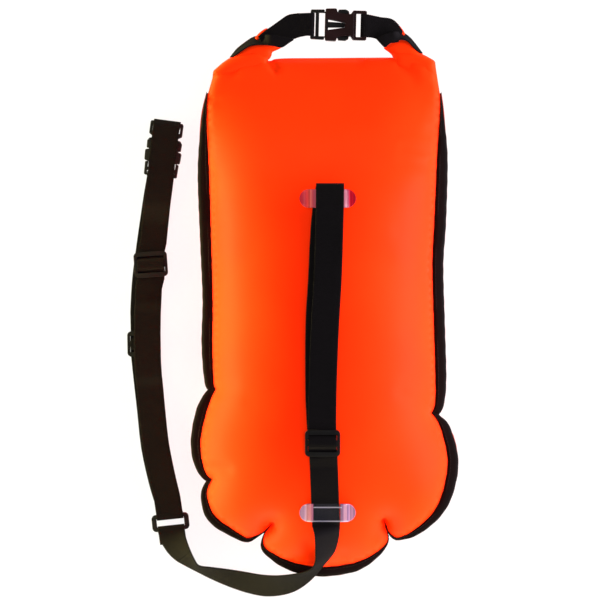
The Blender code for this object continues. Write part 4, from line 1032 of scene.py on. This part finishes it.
def rounded_loop(half_x, half_y, radius, steps):
    loop = []
    for corner, (sx, sy) in enumerate([(1, 1), (-1, 1), (-1, -1), (1, -1)]):
        for k in range(steps + 1):
            angle = (corner + k / steps) * math.pi / 2
            loop.append((sx * (half_x - radius) + radius * math.cos(angle),
                         sy * (half_y - radius) + radius * math.sin(angle)))
    return loop


def frame_at(x, y, z, turn, slope=0.0):
    tilt = Matrix.Rotation(math.atan(slope), 4, "X")
    return Matrix.Translation((x, y, z)) @ tilt @ Matrix.Rotation(math.radians(turn), 4, "Z")


def glide(name, place, lift, along=GLIDE_ALONG, side=GLIDE_SIDE, bars_count=3, bar=GLIDE_BAR,
          soft=0.0009):
    """A rectangular ring, with a bar across its middle where it has three."""
    half_x, half_y = WIDE / 2 + side, along / 2
    loops = [rounded_loop(half_x, half_y, 0.0040, 8)]
    slot_x = WIDE / 2 + SLOT_MARGIN
    if bars_count == 3:
        low, high = bar / 2, half_y - bar
        slot = rounded_loop(slot_x, (high - low) / 2, 0.0008, 3)
        for sign in (-1, 1):
            loops.append([(x, y + sign * (low + high) / 2) for x, y in slot])
    else:
        loops.append(rounded_loop(slot_x, half_y - bar, 0.0010, 3))
    item = flat_outline(name, loops, GLIDE_THICK, PLASTIC)
    round_edges(item, soft, 4)
    turn = Matrix.Rotation(-math.pi / 2, 4, "Z")
    return settle(item, place @ Matrix.Translation((0, 0, lift)) @ turn)


SOCKET_SIDE = [
    (0.010, 0.93), (0.040, 0.98), (0.240, 1.00), (0.275, 0.97), (0.300, 0.78), (0.400, 0.70),
    (0.580, 0.66), (0.625, 0.70), (0.670, 0.88), (0.700, 0.91), (0.960, 0.91), (1.000, 0.86),
]
PLUG_SIDE = [(-1.00, 0.84), (-0.94, 0.91), (-0.10, 0.93), (-0.03, 0.90)]
ARM_ROOT = [0.585, 0.765]
ARM_TIP = [
    (0.240, 0.785), (0.308, 0.800), (0.324, 0.945), (0.496, 0.965), (0.569, 0.860), (0.587, 0.640),
    (0.509, 0.700), (0.313, 0.640),
]


# Further than any piece of a buckle reaches, and how far a cut runs past its edge
THROUGH, OVERRUN = 0.05, 0.002
LUG_START = 0.69


def both_sides(points):
    """An outline along +y, closed by its mirror image."""
    return [(x, -y) for x, y in reversed(points)] + points


def buckle(prefix, wide, place, face):
    """The socket, the plug and the two release arms of a side-release buckle."""
    half = wide / 2 + BUCKLE_SIDE
    length = FEMALE_LENGTH
    slot_half = wide / 2 + SLOT_MARGIN
    side = both_sides([(x * length, y * half) for x, y in SOCKET_SIDE])
    socket = flat_outline(prefix + "_socket_shell", [side], BUCKLE_THICK, face)
    cut(socket, (-OVERRUN, -half + BUCKLE_WALL, -CAVITY_HEIGHT / 2),
        (CAVITY_DEPTH, half - BUCKLE_WALL, CAVITY_HEIGHT / 2))
    window_side = both_sides([(0.035 * length, 0.36 * half), (0.475 * length, 0.16 * half)])
    cut_with(socket, flat_outline("window", [window_side], BUCKLE_THICK + OVERRUN, face))
    bar = length - SOCKET_BAR
    cut(socket, (bar - SOCKET_SLOT, -slot_half, -THROUGH), (bar, slot_half, THROUGH))
    for low, high in ((LUG_THICK / 2, THROUGH), (-THROUGH, -LUG_THICK / 2)):
        cut(socket, (LUG_START * length, -THROUGH, low), (length + OVERRUN, THROUGH, high))
    round_edges(socket, 0.0006, 3)
    settle(socket, place)

    inner_half = half - BUCKLE_WALL - GAP
    base = [(x * MALE_LENGTH, y * half) for x, y in PLUG_SIDE]
    base += [(-0.03 * MALE_LENGTH, inner_half * 0.92), (CROSSBAR, inner_half * 0.92),
             (CROSSBAR, GUIDE_HALF), (GUIDE_LENGTH * 0.94, GUIDE_HALF * 0.8),
             (GUIDE_LENGTH, GUIDE_HALF * 0.5)]
    plug = flat_outline(prefix + "_plug_frame", [both_sides(base)], GUIDE_THICK, PLASTIC)
    for near, wide_of in ((-MALE_SLOT, MALE_SLOT), (MALE_BAR - MALE_LENGTH, WEB_SLOT)):
        cut(plug, (near, -slot_half, -THROUGH), (near + wide_of, slot_half, THROUGH))
    round_edges(plug, 0.0005, 2)
    settle(plug, place)

    arms = []
    arm = [(CROSSBAR + GAP, y) for y in ARM_ROOT] + [(x * length, y) for x, y in ARM_TIP]
    for label, sign in (("first", 1), ("second", -1)):
        loop = [(x, sign * y * half) for x, y in arm]
        lever = flat_outline(prefix + "_arm_" + label, [loop[::sign]], ARM_THICK, PLASTIC)
        round_edges(lever, 0.0004, 2)
        arms.append(settle(lever, place))
    hand_over(socket, prefix + "_buckle_socket", "bag")
    hand_over(plug, prefix + "_buckle_plug", prefix + "_plug")
    for label, lever in zip(("first", "second"), arms):
        hand_over(lever, prefix + "_buckle_release_arm_" + label, prefix + "_arm_" + label)
    return socket, plug


def placed(place, spots):
    return [tuple(place @ Vector((x, 0.0, z))) for x, z in spots]


def wrapped(place, sign, bar_near, bar_far, half_height, stop):
    """Webbing round a bar: in over it, down its inner side and back under it."""
    level = half_height + GAP + WEB / 2
    inner = bar_near - GAP - WEB / 2
    quarter = WEB / 4
    spots = [
        (bar_far + SEAT, level), (bar_near + quarter, level), (inner + quarter, level - quarter),
        (inner, level - WEB), (inner, WEB - level), (inner + quarter, quarter - level),
        (bar_near + quarter, -level), (stop, -level),
    ]
    return placed(place, [(sign * x, z) for x, z in spots])


# Camera, light and floor

def area_light(name, place, target, size, power, colour):
    data = bpy.data.lights.new(name, "AREA")
    data.shape, data.size, data.size_y = "RECTANGLE", size[0], size[1]
    data.energy, data.color = power, colour
    lamp = linked(name, data)
    lamp.location = place
    lamp.rotation_mode = "QUATERNION"
    lamp.rotation_quaternion = (Vector(target) - Vector(place)).to_track_quat("-Z", "Y")
    return lamp


# Each light's name, place, what it points at, size, power and colour
LIGHTS = [
    ("left_strip", (-0.64, 0.00, 0.06), (0, 0, 0.10), (1.3, 0.10), 32.0, (1.0, 0.90, 0.35)),
    ("head_strip", (0.0, 0.58, 0.02), (0, 0.20, 0.09), (0.9, 0.05), 1.0, (1.0, 0.96, 0.95)),
    ("foot_strip", (0.0, -0.85, 0.07), (0, -0.05, 0.09), (0.9, 0.12), 10.5, (1.0, 0.92, 0.55)),
    ("right_box", (1.20, 0.00, 0.32), (0, 0, 0.08), (1.4, 0.5), 48.0, (1.0, 0.94, 1.10)),
    ("top_box", (0.0, 0.0, 2.4), (0, 0, 0), (1.4, 1.4), 32.0, (1.0, 1.0, 1.0)),
]
FLOOR_HALF, FLOOR_LEVEL = 6.0, -0.0002
# How much of the floor's look is its own light, and how bright the sky is that lights the scene
FLOOR_GLOW, SKY = 0.84, 0.30


def make_studio():
    data = bpy.data.cameras.new("camera")
    data.sensor_width = SENSOR
    data.lens = SENSOR * EYE.z / (FRAME_SIDE * PIXEL)
    data.clip_end = 20.0
    camera = linked("camera", data)
    camera.location = EYE
    bpy.context.scene.camera = camera

    floor_mesh = bpy.data.meshes.new("floor")
    corners = [(x * FLOOR_HALF, y * FLOOR_HALF, 0) for x, y in ((-1, -1), (1, -1), (1, 1), (-1, 1))]
    floor_mesh.from_pydata(corners, [], [(0, 1, 2, 3)])
    floor = linked("floor", floor_mesh)
    floor.location.z = FLOOR_LEVEL
    pale = bpy.data.materials.new("pale_floor")
    pale.use_nodes = True
    tree = pale.node_tree
    shader = tree.nodes["Principled BSDF"]
    shader.inputs["Base Color"].default_value = (0.86, 0.86, 0.86, 1)
    shader.inputs["Roughness"].default_value = 0.9
    path = node(tree, "ShaderNodeLightPath")
    seen = maths(tree, "MAXIMUM", path.outputs["Is Camera Ray"],
                 maths(tree, "MAXIMUM", path.outputs["Is Glossy Ray"], path.outputs["Is Transmission Ray"]))
    glow = node(tree, "ShaderNodeEmission", [("Color", (1, 1, 1, 1)), ("Strength", 1.0)])
    share = maths(tree, "MULTIPLY", seen, FLOOR_GLOW)
    mix = node(tree, "ShaderNodeMixShader", [(0, share), (1, shader.outputs[0]), (2, glow.outputs[0])])
    tree.links.new(mix.outputs[0], tree.nodes["Material Output"].inputs["Surface"])
    floor_mesh.materials.append(pale)

    world = bpy.data.worlds.new("studio")
    bpy.context.scene.world = world
    world.use_nodes = True
    tree = world.node_tree
    background = tree.nodes["Background"]
    background.inputs["Color"].default_value = (1, 1, 1, 1)
    path = node(tree, "ShaderNodeLightPath")
    seen = maths(tree, "MULTIPLY", path.outputs["Is Camera Ray"], 1 - SKY)
    tree.links.new(maths(tree, "ADD", seen, SKY), background.inputs["Strength"])

    for row in LIGHTS:
        lamp = area_light(*row)
        lamp.visible_glossy = row[0] != "top_box"
    bpy.context.scene.view_settings.view_transform = "Standard"


make_studio()

# Bag

front_skin = make_front()
back_skin = make_back()
for skin, panel in ((front_skin, "front_panel"), (back_skin, "back_panel")):
    hand_over(skin, panel, "bag")
hand_over(make_binding(), "edge_binding", "bag")

# Rolled cloth of the mouth's two bent ends, one lap behind the other, in pixels of the photograph
LEFT_LAP = [
    (212.6, 76.0), (213.4, 71.0), (217.2, 67.4), (223.0, 62.4), (230.1, 57.8), (236.7, 55.2),
    (240.2, 54.0), (248.0, 51.4), (255.1, 49.8), (259.7, 51.2), (264.0, 53.8), (267.7, 54.9),
    (271.2, 54.6), (270.6, 56.9), (268.0, 60.0), (268.0, 68.0), (250.0, 72.0), (225.0, 78.0),
]
LEFT_END = [
    (229.6, 58.6), (236.7, 53.4), (241.3, 49.8), (249.4, 44.6), (257.4, 42.6), (268.9, 43.4),
    (276.9, 45.0), (281.6, 47.4), (277.0, 50.0), (272.3, 52.2), (271.6, 55.2), (268.0, 60.0),
    (256.0, 62.0), (240.0, 62.0),
]
RIGHT_LAP = [
    (437.0, 78.0), (435.6, 66.0), (434.7, 61.2), (429.5, 57.8), (422.9, 54.4), (416.0, 52.6),
    (408.0, 50.8), (401.4, 50.4), (395.0, 50.6), (392.0, 52.0), (391.6, 54.6), (393.4, 58.0),
    (396.0, 68.0), (415.0, 76.0),
]
RIGHT_END = [
    (424.0, 55.0), (419.2, 51.2), (416.3, 48.2), (411.7, 43.0), (407.1, 39.8), (400.8, 38.8),
    (394.5, 39.6), (389.4, 42.6), (383.6, 47.6), (388.2, 51.8), (391.6, 54.8), (393.4, 58.0),
    (400.0, 63.0), (415.0, 62.0),
]
LEFT_FOLD = [(254.8, 38.0), (259.4, 32.6), (265.6, 28.4), (268.0, 29.4), (262.0, 35.5), (257.6, 40.0)]
RIGHT_FOLD = [(395.4, 24.4), (398.8, 24.9), (404.8, 32.8), (403.4, 35.4), (399.6, 33.0), (397.0, 29.0)]
# Each piece's name, outline, height, half thickness, how soft its edge is, and grid
MOUTH_PIECES = [
    ("mouth_lap_left", LEFT_LAP, 0.0755, 0.0056, 0.0075, 0.0022),
    ("mouth_end_left", LEFT_END, 0.0745, 0.0052, 0.0065, 0.0022),
    ("mouth_lap_right", RIGHT_LAP, 0.0755, 0.0056, 0.0075, 0.0022),
    ("mouth_end_right", RIGHT_END, 0.0745, 0.0052, 0.0065, 0.0022),
    ("mouth_fold_left", LEFT_FOLD, 0.0775, 0.0010, 0.0020, 0.0010),
    ("mouth_fold_right", RIGHT_FOLD, 0.0775, 0.0010, 0.0020, 0.0010),
]
for row in MOUTH_PIECES:
    hand_over(pillow(*row), "closure_roll", "bag")

# Handle

HANDLE_PLACE = Matrix.Translation((0.0004, 0.2450, 0.0790)) @ Matrix.Rotation(math.radians(-1.5), 4, "Z")
buckle("handle", NARROW, HANDLE_PLACE, MAROON)

# The webbing's two edges, each as (across and down in pixels of the photograph, height)
LEFT_STRIP = [
    (230.0, 57.9, 0.0720, 231.6, 57.6, 0.0770), (233.8, 52.8, 0.0715, 235.0, 55.4, 0.0785),
    (237.9, 48.0, 0.0710, 239.0, 52.6, 0.0800), (246.2, 41.6, 0.0710, 247.8, 46.8, 0.0815),
    (252.6, 37.4, 0.0715, 256.0, 44.8, 0.0825), (260.3, 35.3, 0.0725, 262.2, 44.8, 0.0830),
    (267.9, 34.6, 0.0840, 268.8, 45.4, 0.0835), (276.2, 35.3, 0.0848, 275.6, 46.6, 0.0840),
    (283.2, 36.8, 0.0848, 281.8, 47.7, 0.0840), (290.0, 38.4, 0.0845, 288.3, 43.6, 0.0840),
    (293.6, 39.6, 0.0842, 293.0, 40.4, 0.0840),
]
RIGHT_STRIP = [
    (422.4, 53.6, 0.0720, 421.4, 53.8, 0.0770), (417.8, 47.4, 0.0715, 417.0, 50.5, 0.0790),
    (413.9, 42.3, 0.0710, 413.0, 46.7, 0.0805), (409.4, 37.2, 0.0710, 409.0, 42.2, 0.0820),
    (403.9, 33.3, 0.0725, 404.2, 39.8, 0.0830), (395.9, 31.4, 0.0838, 396.5, 40.7, 0.0836),
    (389.5, 32.7, 0.0846, 390.5, 43.1, 0.0840), (383.8, 34.6, 0.0848, 384.9, 47.4, 0.0840),
    (379.4, 36.8, 0.0845, 380.8, 44.0, 0.0840), (376.6, 38.8, 0.0842, 377.4, 40.2, 0.0840),
]
LEFT_WEB = [
    (258.6, 36.0, 0.0800, 262.0, 44.0, 0.0800), (265.6, 30.3, 0.0803, 271.0, 43.5, 0.0803),
    (272.6, 25.5, 0.0806, 279.0, 43.0, 0.0806), (280.2, 20.0, 0.0809, 287.0, 42.0, 0.0809),
    (288.0, 14.9, 0.0812, 294.6, 38.8, 0.0812), (296.5, 13.4, 0.0815, 300.5, 36.8, 0.0815),
]
RIGHT_WEB = [
    (402.6, 31.0, 0.0800, 398.0, 42.0, 0.0800), (399.3, 25.6, 0.0804, 392.0, 43.0, 0.0804),
    (394.8, 20.8, 0.0808, 386.0, 42.6, 0.0808), (389.4, 18.2, 0.0812, 380.0, 41.0, 0.0812),
    (381.0, 17.2, 0.0816, 375.0, 38.4, 0.0816),
]


def same_side(first, second):
    """The second run of stations, with its edges on the same sides as the first's."""
    if first[-1][1].dot(second[0][1]) < 0:
        second = [(c, -h) for c, h in second]
    return first + second


left_wrap = flat_pairs(wrapped(HANDLE_PLACE, -1, MALE_LENGTH - MALE_BAR, MALE_LENGTH, GUIDE_THICK / 2,
                               MALE_LENGTH + WRAP_RETURN), NARROW)
right_wrap = flat_pairs(wrapped(HANDLE_PLACE, 1, FEMALE_LENGTH - SOCKET_BAR, FEMALE_LENGTH, LUG_THICK / 2,
                                FEMALE_LENGTH + WRAP_RETURN / 3), NARROW)
left_strap = webbing("handle_webbing_left", same_side(edge_pairs(LEFT_WEB), left_wrap), 0.0012)
right_strap = webbing("handle_webbing_right", same_side(edge_pairs(RIGHT_WEB), right_wrap), 0.0012)
left_strip = webbing("mouth_strip_left", edge_pairs(LEFT_STRIP), 0.0012, ribs=False)
right_strip = webbing("mouth_strip_right", edge_pairs(RIGHT_STRIP), 0.0012, ribs=False)
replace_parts(left_strap, "handle_strap_left")
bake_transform(left_strap)
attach(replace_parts(right_strap, "handle_strap_right"), "bag")
for strip, end in ((left_strip, "handle_strap_left"), (right_strip, "handle_strap_right")):
    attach(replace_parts(strip, end), "bag")

# Leash

LEASH_LINE = [
    (0.0046, 0.0985), (0.0044, 0.0835), (0.0036, 0.0500), (0.0022, 0.0100), (-0.0004, -0.0350),
    (-0.0022, -0.0850), (-0.0026, -0.1180), (-0.0022, -0.1350), (-0.0010, -0.1560),
    (0.0006, -0.1990), (0.0020, -0.2280), (0.0012, -0.2580),
]
LEASH_TAIL = [
    (314.6, 535.1, 0.1310, 339.4, 530.1, 0.1205), (315.2, 543.5, 0.1290, 338.7, 536.9, 0.1168),
    (315.5, 553.5, 0.1262, 336.7, 545.7, 0.1115), (315.1, 562.3, 0.1230, 334.1, 552.1, 0.1070),
    (311.3, 569.1, 0.1176, 330.0, 557.7, 0.1017), (303.7, 572.6, 0.1090, 324.4, 564.3, 0.0940),
    (294.7, 574.2, 0.0978, 317.5, 573.0, 0.0842), (285.4, 575.3, 0.0835, 308.0, 582.5, 0.0721),
    (276.2, 575.8, 0.0656, 295.7, 590.7, 0.0563), (266.7, 575.4, 0.0487, 281.3, 595.1, 0.0399),
    (256.5, 574.1, 0.0364, 265.3, 596.1, 0.0264), (245.5, 572.1, 0.0287, 249.9, 593.3, 0.0158),
    (234.2, 570.3, 0.0248, 235.1, 588.7, 0.0084), (222.4, 568.7, 0.0244, 220.7, 583.0, 0.0047),
    (209.6, 567.2, 0.0248, 208.1, 577.2, 0.0027), (198.8, 565.5, 0.0250, 198.2, 572.1, 0.0014),
    (194.3, 559.4, 0.0233, 189.4, 567.7, 0.0010), (190.9, 552.1, 0.0195, 177.9, 561.6, 0.0015),
    (187.9, 544.2, 0.0153, 168.6, 553.5, 0.0023), (185.1, 534.9, 0.0096, 160.9, 542.4, 0.0040),
]
# How far the under ply of the leash lies to the left of the front one: (y, shift) in metres
UNDER_SHIFT = [(-0.1350, 0.0), (-0.1150, 0.0013), (-0.0970, 0.0024), (-0.0500, 0.0042), (-0.0180, 0.0050),
               (0.0360, 0.0047), (0.0600, 0.0040), (0.0760, 0.0026), (0.0900, 0.0008)]


# Where rays start that find the skin under the webbing
HIGH, DOWN = 0.3, Vector((0, 0, -1))
STEP, RUN_STEP, SLOPE_REACH = 0.0015, 0.004, 0.006
MOST_SUNK = 0.0002


class Bed:
    """Where the leash lies on the front skin, drawn tight over the crown."""

    def __init__(self):
        line = smooth_path(LEASH_LINE, 4)
        self.xs = np.array([p[0] for p in line][::-1])
        self.ys = np.array([p[1] for p in line][::-1])
        ys = np.arange(self.ys[0], self.ys[-1], STEP)
        bpy.context.view_layer.update()
        tops = []
        for y in ys:
            x = float(np.interp(y, self.ys, self.xs))
            best = WELD + BAND_HALF
            for k in range(-4, 5):
                hit, where, _, _ = front_skin.ray_cast(Vector((x + k * WIDE / 8, y, HIGH)), DOWN)
                if hit:
                    best = max(best, where.z)
            tops.append(best)
        hull = []
        for y, z in zip(ys, tops):
            while len(hull) > 1 and not (
                    (hull[-1][1] - hull[-2][1]) * (y - hull[-2][0])
                    > (z - hull[-2][1]) * (hull[-1][0] - hull[-2][0])):
                hull.pop()
            hull.append((y, z))
        hull = np.array(hull)
        tight = np.interp(ys, hull[:, 0], hull[:, 1])
        mean = np.convolve(np.pad(tight, 4, mode="edge"), np.ones(9) / 9, "valid")
        self.y, self.top = ys, np.maximum(mean, tight - MOST_SUNK)

    def x(self, y):
        return float(np.interp(y, self.ys, self.xs))

    def z(self, y):
        return float(np.interp(y, self.y, self.top))

    def slope(self, y):
        return (self.z(y + SLOPE_REACH) - self.z(y - SLOPE_REACH)) / (2 * SLOPE_REACH)

    def at(self, y, lift):
        return (self.x(y), y, self.z(y) + lift * math.hypot(1.0, self.slope(y)))

    def run(self, start, stop, lift):
        count = max(2, round(abs(stop - start) / RUN_STEP))
        return [self.at(start + (stop - start) * k / count, lift) for k in range(count + 1)]


BED = Bed()
PLY = WEB + GAP
FOLD_SLACK, FOLD_RISE = 0.0022, 0.0006
# How far below the loop the leash is down again, and from the adjuster where it goes down one ply
LOOP_RAMP, UPPER_END, LOWER_START = 0.012, 0.014, 0.022
FIRST_PLY = SEAT + WEB / 2
CLEAR_LIFT = SEAT + WEB + GAP + CLEAR_THICK / 2
OVER_CLEAR = CLEAR_LIFT + CLEAR_THICK / 2 + GAP + WEB / 2


def make_leash():
    """Under ply up from the adjuster, round the upper loop, and down the front of the bag."""
    reach = CLEAR_WIDTH / 2 + SEAT
    fold, clear_of = UPPER_LOOP_Y + reach + FOLD_SLACK, UPPER_LOOP_Y - reach
    slope = BED.slope(UPPER_LOOP_Y)

    def level(y, lift):
        height = BED.z(UPPER_LOOP_Y) + (y - UPPER_LOOP_Y) * slope + lift * math.hypot(1.0, slope)
        return (BED.x(y), y, height)

    low, top = level(fold, FIRST_PLY), level(fold, OVER_CLEAR + FOLD_RISE)
    turn = [(low[0], fold + WEB * out, low[2] + (top[2] - low[2]) * up)
            for out, up in ((0.5, 0.01), (1.2, 0.15), (1.6, 0.42), (1.6, 0.60), (1.2, 0.86), (0.5, 0.99))]
    under = [(x - np.interp(y, *zip(*UNDER_SHIFT)), y, z)
             for x, y, z in BED.run(SLIDE_Y + 0.002, clear_of, FIRST_PLY)]
    path = under + [low] + turn + [top]
    path += [level(UPPER_LOOP_Y, OVER_CLEAR + FOLD_RISE), level(clear_of, OVER_CLEAR)]
    path += BED.run(clear_of - LOOP_RAMP, SLIDE_Y - UPPER_END, FIRST_PLY + PLY)
    path += BED.run(SLIDE_Y - LOWER_START, TAIL_START, FIRST_PLY)
    hand_over(webbing("leash_webbing", flat_pairs(path, WIDE), STEP), "leash_strap", "bag")


def hump(name, place, body, node_name):
    """The webbing over an adjuster's middle bar, which goes along with it."""
    high = WEB + 2 * GAP + GLIDE_THICK
    low = GLIDE_ALONG / 2 - GLIDE_BAR - GAP
    spots = [(-low - 0.0006, 0.0), (-low + 0.0004, high * 0.28), (-low * 0.55, high * 0.78),
             (-low * 0.22, high), (low * 0.22, high), (low * 0.55, high * 0.78),
             (low - 0.0004, high * 0.28), (low + 0.0006, 0.0)]
    path = smooth_path(placed(place, spots), 4)
    item = webbing(name, flat_pairs(path, WIDE + 2 * SLOT_MARGIN - 2 * GAP), 0.001)
    hand_over(item, node_name, body)


make_leash()
slide_place = frame_at(*BED.at(SLIDE_Y, FIRST_PLY + PLY), 90.0, BED.slope(SLIDE_Y))
GLIDE_LIFT = WEB / 2 + GAP + GLIDE_THICK / 2
leash_glide = glide("leash_tri_glide", slide_place, GLIDE_LIFT)
hand_over(leash_glide, "leash_slide", "leash_adjuster")
hump("leash_over_bar", slide_place, "leash_adjuster", "leash_strap")

RING_PLACE = frame_at(-0.1443, -0.2165, 0.0035, 96.0)
RING_NEAR, RING_FAR = RING_ALONG / 2 - RING_BAR, RING_ALONG / 2
ring = glide("leash_ring", RING_PLACE, 0.0, RING_ALONG, RING_SIDE, 2, RING_BAR, 0.00128)
hand_over(ring, "belt_ring", "ring")


def smoothed(stations, steps=5):
    """The stations of webbing with a smooth curve through them."""
    values = smooth_path([tuple(c) + tuple(h) for c, h in stations], steps)
    return [(Vector(v[:3]), Vector(v[3:])) for v in values]


def make_tail():
    """The free leash: over the bottom seam and down to the floor, then a short end round the ring."""
    start = flat_pairs(BED.run(TAIL_START + 0.0006, TAIL_START - 0.0024, FIRST_PLY), WIDE)
    fall = edge_pairs(LEASH_TAIL, 1)
    stations = same_side(start, fall)
    if stations[0][1].dot(stations[-1][1]) < 0:
        stations = [(c, -h) for c, h in stations]
    free = smoothed(stations[:-2])
    lower = smoothed(stations[-4:])[5:]
    end_path = wrapped(RING_PLACE, -1, RING_NEAR, RING_FAR, GLIDE_THICK / 2 + GAP, RING_FAR + SEAT)
    end_path += [(-0.1418, -0.2360, end_path[-1][2])]
    end = same_side(lower, flat_pairs(end_path, WIDE))
    return webbing("leash_tail", free, STEP), webbing("leash_end", end, STEP), [tuple(c) for c, _ in free]


tail, tail_end, tail_line = make_tail()
for item in (tail, tail_end):
    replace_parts(item, "leash_strap")
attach(tail, "bag")
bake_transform(tail_end)

# Belt

BELT_PLACE = frame_at(-0.1522, 0.1220, 0.0054, 82.5)
FRONT_SLIDE = frame_at(-0.1628, 0.0262, 0.0030, 94.0)
# The webbing lies a little askew in the front adjuster
FRONT_IN_SLIDE = frame_at(-0.1625, 0.0262, 0.0030, 90.5)
REAR_SLIDE = frame_at(-0.1692, -0.0486, 0.0011, 91.0)
BELT_FRONT = [
    (-0.1527, 0.1130, 0.0116), (-0.1548, 0.0960, 0.0114), (-0.1566, 0.0830, 0.0100),
    (-0.1578, 0.0730, 0.0062), (-0.1590, 0.0630, 0.0034), (-0.1604, 0.0480, 0.0030),
]
# The front ply is lifted wherever the rear adjuster under it can be slid
BELT_MIDDLE = [
    (-0.1648, 0.0050, 0.0029), (-0.1654, -0.0080, 0.0031), (-0.1656, -0.0150, 0.0062),
    (-0.1657, -0.0205, 0.0083), (-0.1658, -0.0290, 0.0088), (-0.1659, -0.0440, 0.0090),
    (-0.1656, -0.0620, 0.0088), (-0.1648, -0.0770, 0.0083), (-0.1643, -0.0830, 0.0062),
    (-0.1636, -0.0910, 0.0034), (-0.1618, -0.1110, 0.0029), (-0.1588, -0.1394, 0.0029),
    (-0.1557, -0.1573, 0.0030), (-0.1515, -0.1770, 0.0038), (-0.1475, -0.1930, 0.0052),
]
BELT_LOWER = [
    (-0.1480, -0.1930, 0.0011), (-0.1530, -0.1760, 0.0011), (-0.1597, -0.1450, 0.0011),
    (-0.1634, -0.1111, 0.0011), (-0.1668, -0.0810, 0.0011),
]
BELT_BACK = [
    (-0.1698, -0.0180, 0.0011), (-0.1682, 0.0100, 0.0011), (-0.1645, 0.0400, 0.0011),
    (-0.1595, 0.0750, 0.0011), (-0.1569, 0.0920, 0.0016),
]
belt_socket, belt_plug = buckle("belt", WIDE, BELT_PLACE, PLASTIC)


def through(place):
    edge = GLIDE_ALONG / 2
    return placed(place, [(edge, 0.0), (0.0, 0.0), (-edge, 0.0)])


def make_belt():
    over = BUCKLE_THICK / 2 + GAP + WEB / 2
    bar = FEMALE_LENGTH - SOCKET_BAR
    level = LUG_THICK / 2 + GAP + WEB / 2
    end = FEMALE_LENGTH + GAP + WEB / 2
    inner = bar - GAP - WEB / 2
    quarter = WEB / 4
    fold = placed(BELT_PLACE, [
        (inner, level / 2), (inner, WEB - level), (inner + quarter, quarter - level),
        (bar + quarter, -level), (FEMALE_LENGTH - quarter, -level), (end - quarter, quarter - level),
        (end, WEB - level), (end, level - WEB), (end - quarter, level - quarter),
        (FEMALE_LENGTH - quarter, level), (bar, over), (FEMALE_LENGTH / 2, over), (0.0, over),
    ])
    front = fold + smooth_path(BELT_FRONT, 3) + through(FRONT_IN_SLIDE) + smooth_path(BELT_MIDDLE, 3)
    # The fold leaves the corners of the ring's bar room to turn
    room = math.hypot(RING_BAR, GLIDE_THICK) / 2 - GAP + 2 * RIB_PROUD
    front += wrapped(RING_PLACE, 1, RING_NEAR + RING_BAR / 2 - room, RING_FAR, room, RING_FAR + SEAT)
    rear = smooth_path(BELT_LOWER, 3) + through(REAR_SLIDE)[::-1] + smooth_path(BELT_BACK, 3)
    rear += wrapped(BELT_PLACE, -1, MALE_LENGTH - MALE_BAR, MALE_LENGTH, GUIDE_THICK / 2,
                    MALE_LENGTH + SEAT)[::-1]
    front_ply = webbing("belt_front_ply", flat_pairs(front, WIDE), STEP)
    rear_ply = webbing("belt_rear_ply", flat_pairs(rear, WIDE), STEP)
    return front_ply, rear_ply, front[::-1], rear


belt_front, belt_rear, belt_front_line, belt_rear_line = make_belt()
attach(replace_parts(belt_front, "belt_strap"), "bag")
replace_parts(belt_rear, "belt_strap")
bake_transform(belt_rear)
front_glide = glide("belt_tri_glide_front", FRONT_SLIDE, GLIDE_LIFT)
rear_glide = glide("belt_tri_glide_rear", REAR_SLIDE, GLIDE_LIFT)
hand_over(front_glide, "belt_slide_front", "belt_adjuster_front")
hand_over(rear_glide, "belt_slide_rear", "belt_adjuster_rear")
hump("belt_front_over_bar", FRONT_SLIDE, "belt_adjuster_front", "belt_strap")
hump("belt_rear_over_bar", REAR_SLIDE, "belt_adjuster_rear", "belt_strap")


# Clear loops

# How far from its middle a tab is raised, over what length it comes down, and how high it is welded
RAISED, RAMP, FILM_SEAT = 0.0166, 0.0080, 0.0006


def make_clear_loop(name, y, node_name, film):
    """A clear pill-shaped tab, welded down at both ends and raised over the webbing."""
    slope = BED.slope(y)
    columns, rows = 64, 10
    top = BED.z(y) + CLEAR_LIFT * math.hypot(1.0, slope)
    points, faces, uvs = [], [], []
    for k in range(columns + 1):
        away = (k / columns - 0.5) * CLEAR_LENGTH
        end = max(abs(away) - (CLEAR_LENGTH - CLEAR_WIDTH) / 2, 0.0) * 2 / CLEAR_WIDTH
        half = CLEAR_WIDTH / 2 * math.sqrt(max(1 - end ** 2, 0.02))
        rise = min(max((RAISED - abs(away)) / RAMP + 0.5, 0.0), 1.0)
        rise = rise * rise * (3 - 2 * rise)
        for j in range(rows + 1):
            across = (j / rows * 2 - 1) * half
            x = CLEAR_X + away
            hit, where, _, _ = front_skin.ray_cast(Vector((x, y + across, HIGH)), DOWN)
            seat = (where.z if hit else top) + FILM_SEAT
            high = max(top + across * slope, seat)
            points.append((x, y + across, seat + (high - seat) * rise))
            uvs.append((away, across))
            if k and j:
                n = k * (rows + 1) + j
                faces.append((n - rows - 2, n - 1, n, n - rows - 1))
    item = put(name, points, faces, film, uvs)
    thicken(item, CLEAR_THICK, 0.0)
    round_edges(item, 0.0003, 2)
    apply_modifiers(item)
    face_out(item)
    item.data.shade_smooth()
    hand_over(item, node_name, "bag")


make_clear_loop("clear_tab_upper", UPPER_LOOP_Y, "upper_clear_loop", UPPER_FILM)
make_clear_loop("clear_tab_lower", LOWER_LOOP_Y, "lower_clear_loop", LOWER_FILM)

# What the solids already show well enough

for name, material in (("front_liner", INNER), ("back_liner", INNER), ("valve_body", PLASTIC),
                       ("valve_mouthpiece", PLASTIC), ("valve_flap", RUBBER)):
    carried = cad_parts[name]
    carried.data.materials.clear()
    carried.data.materials.append(material)
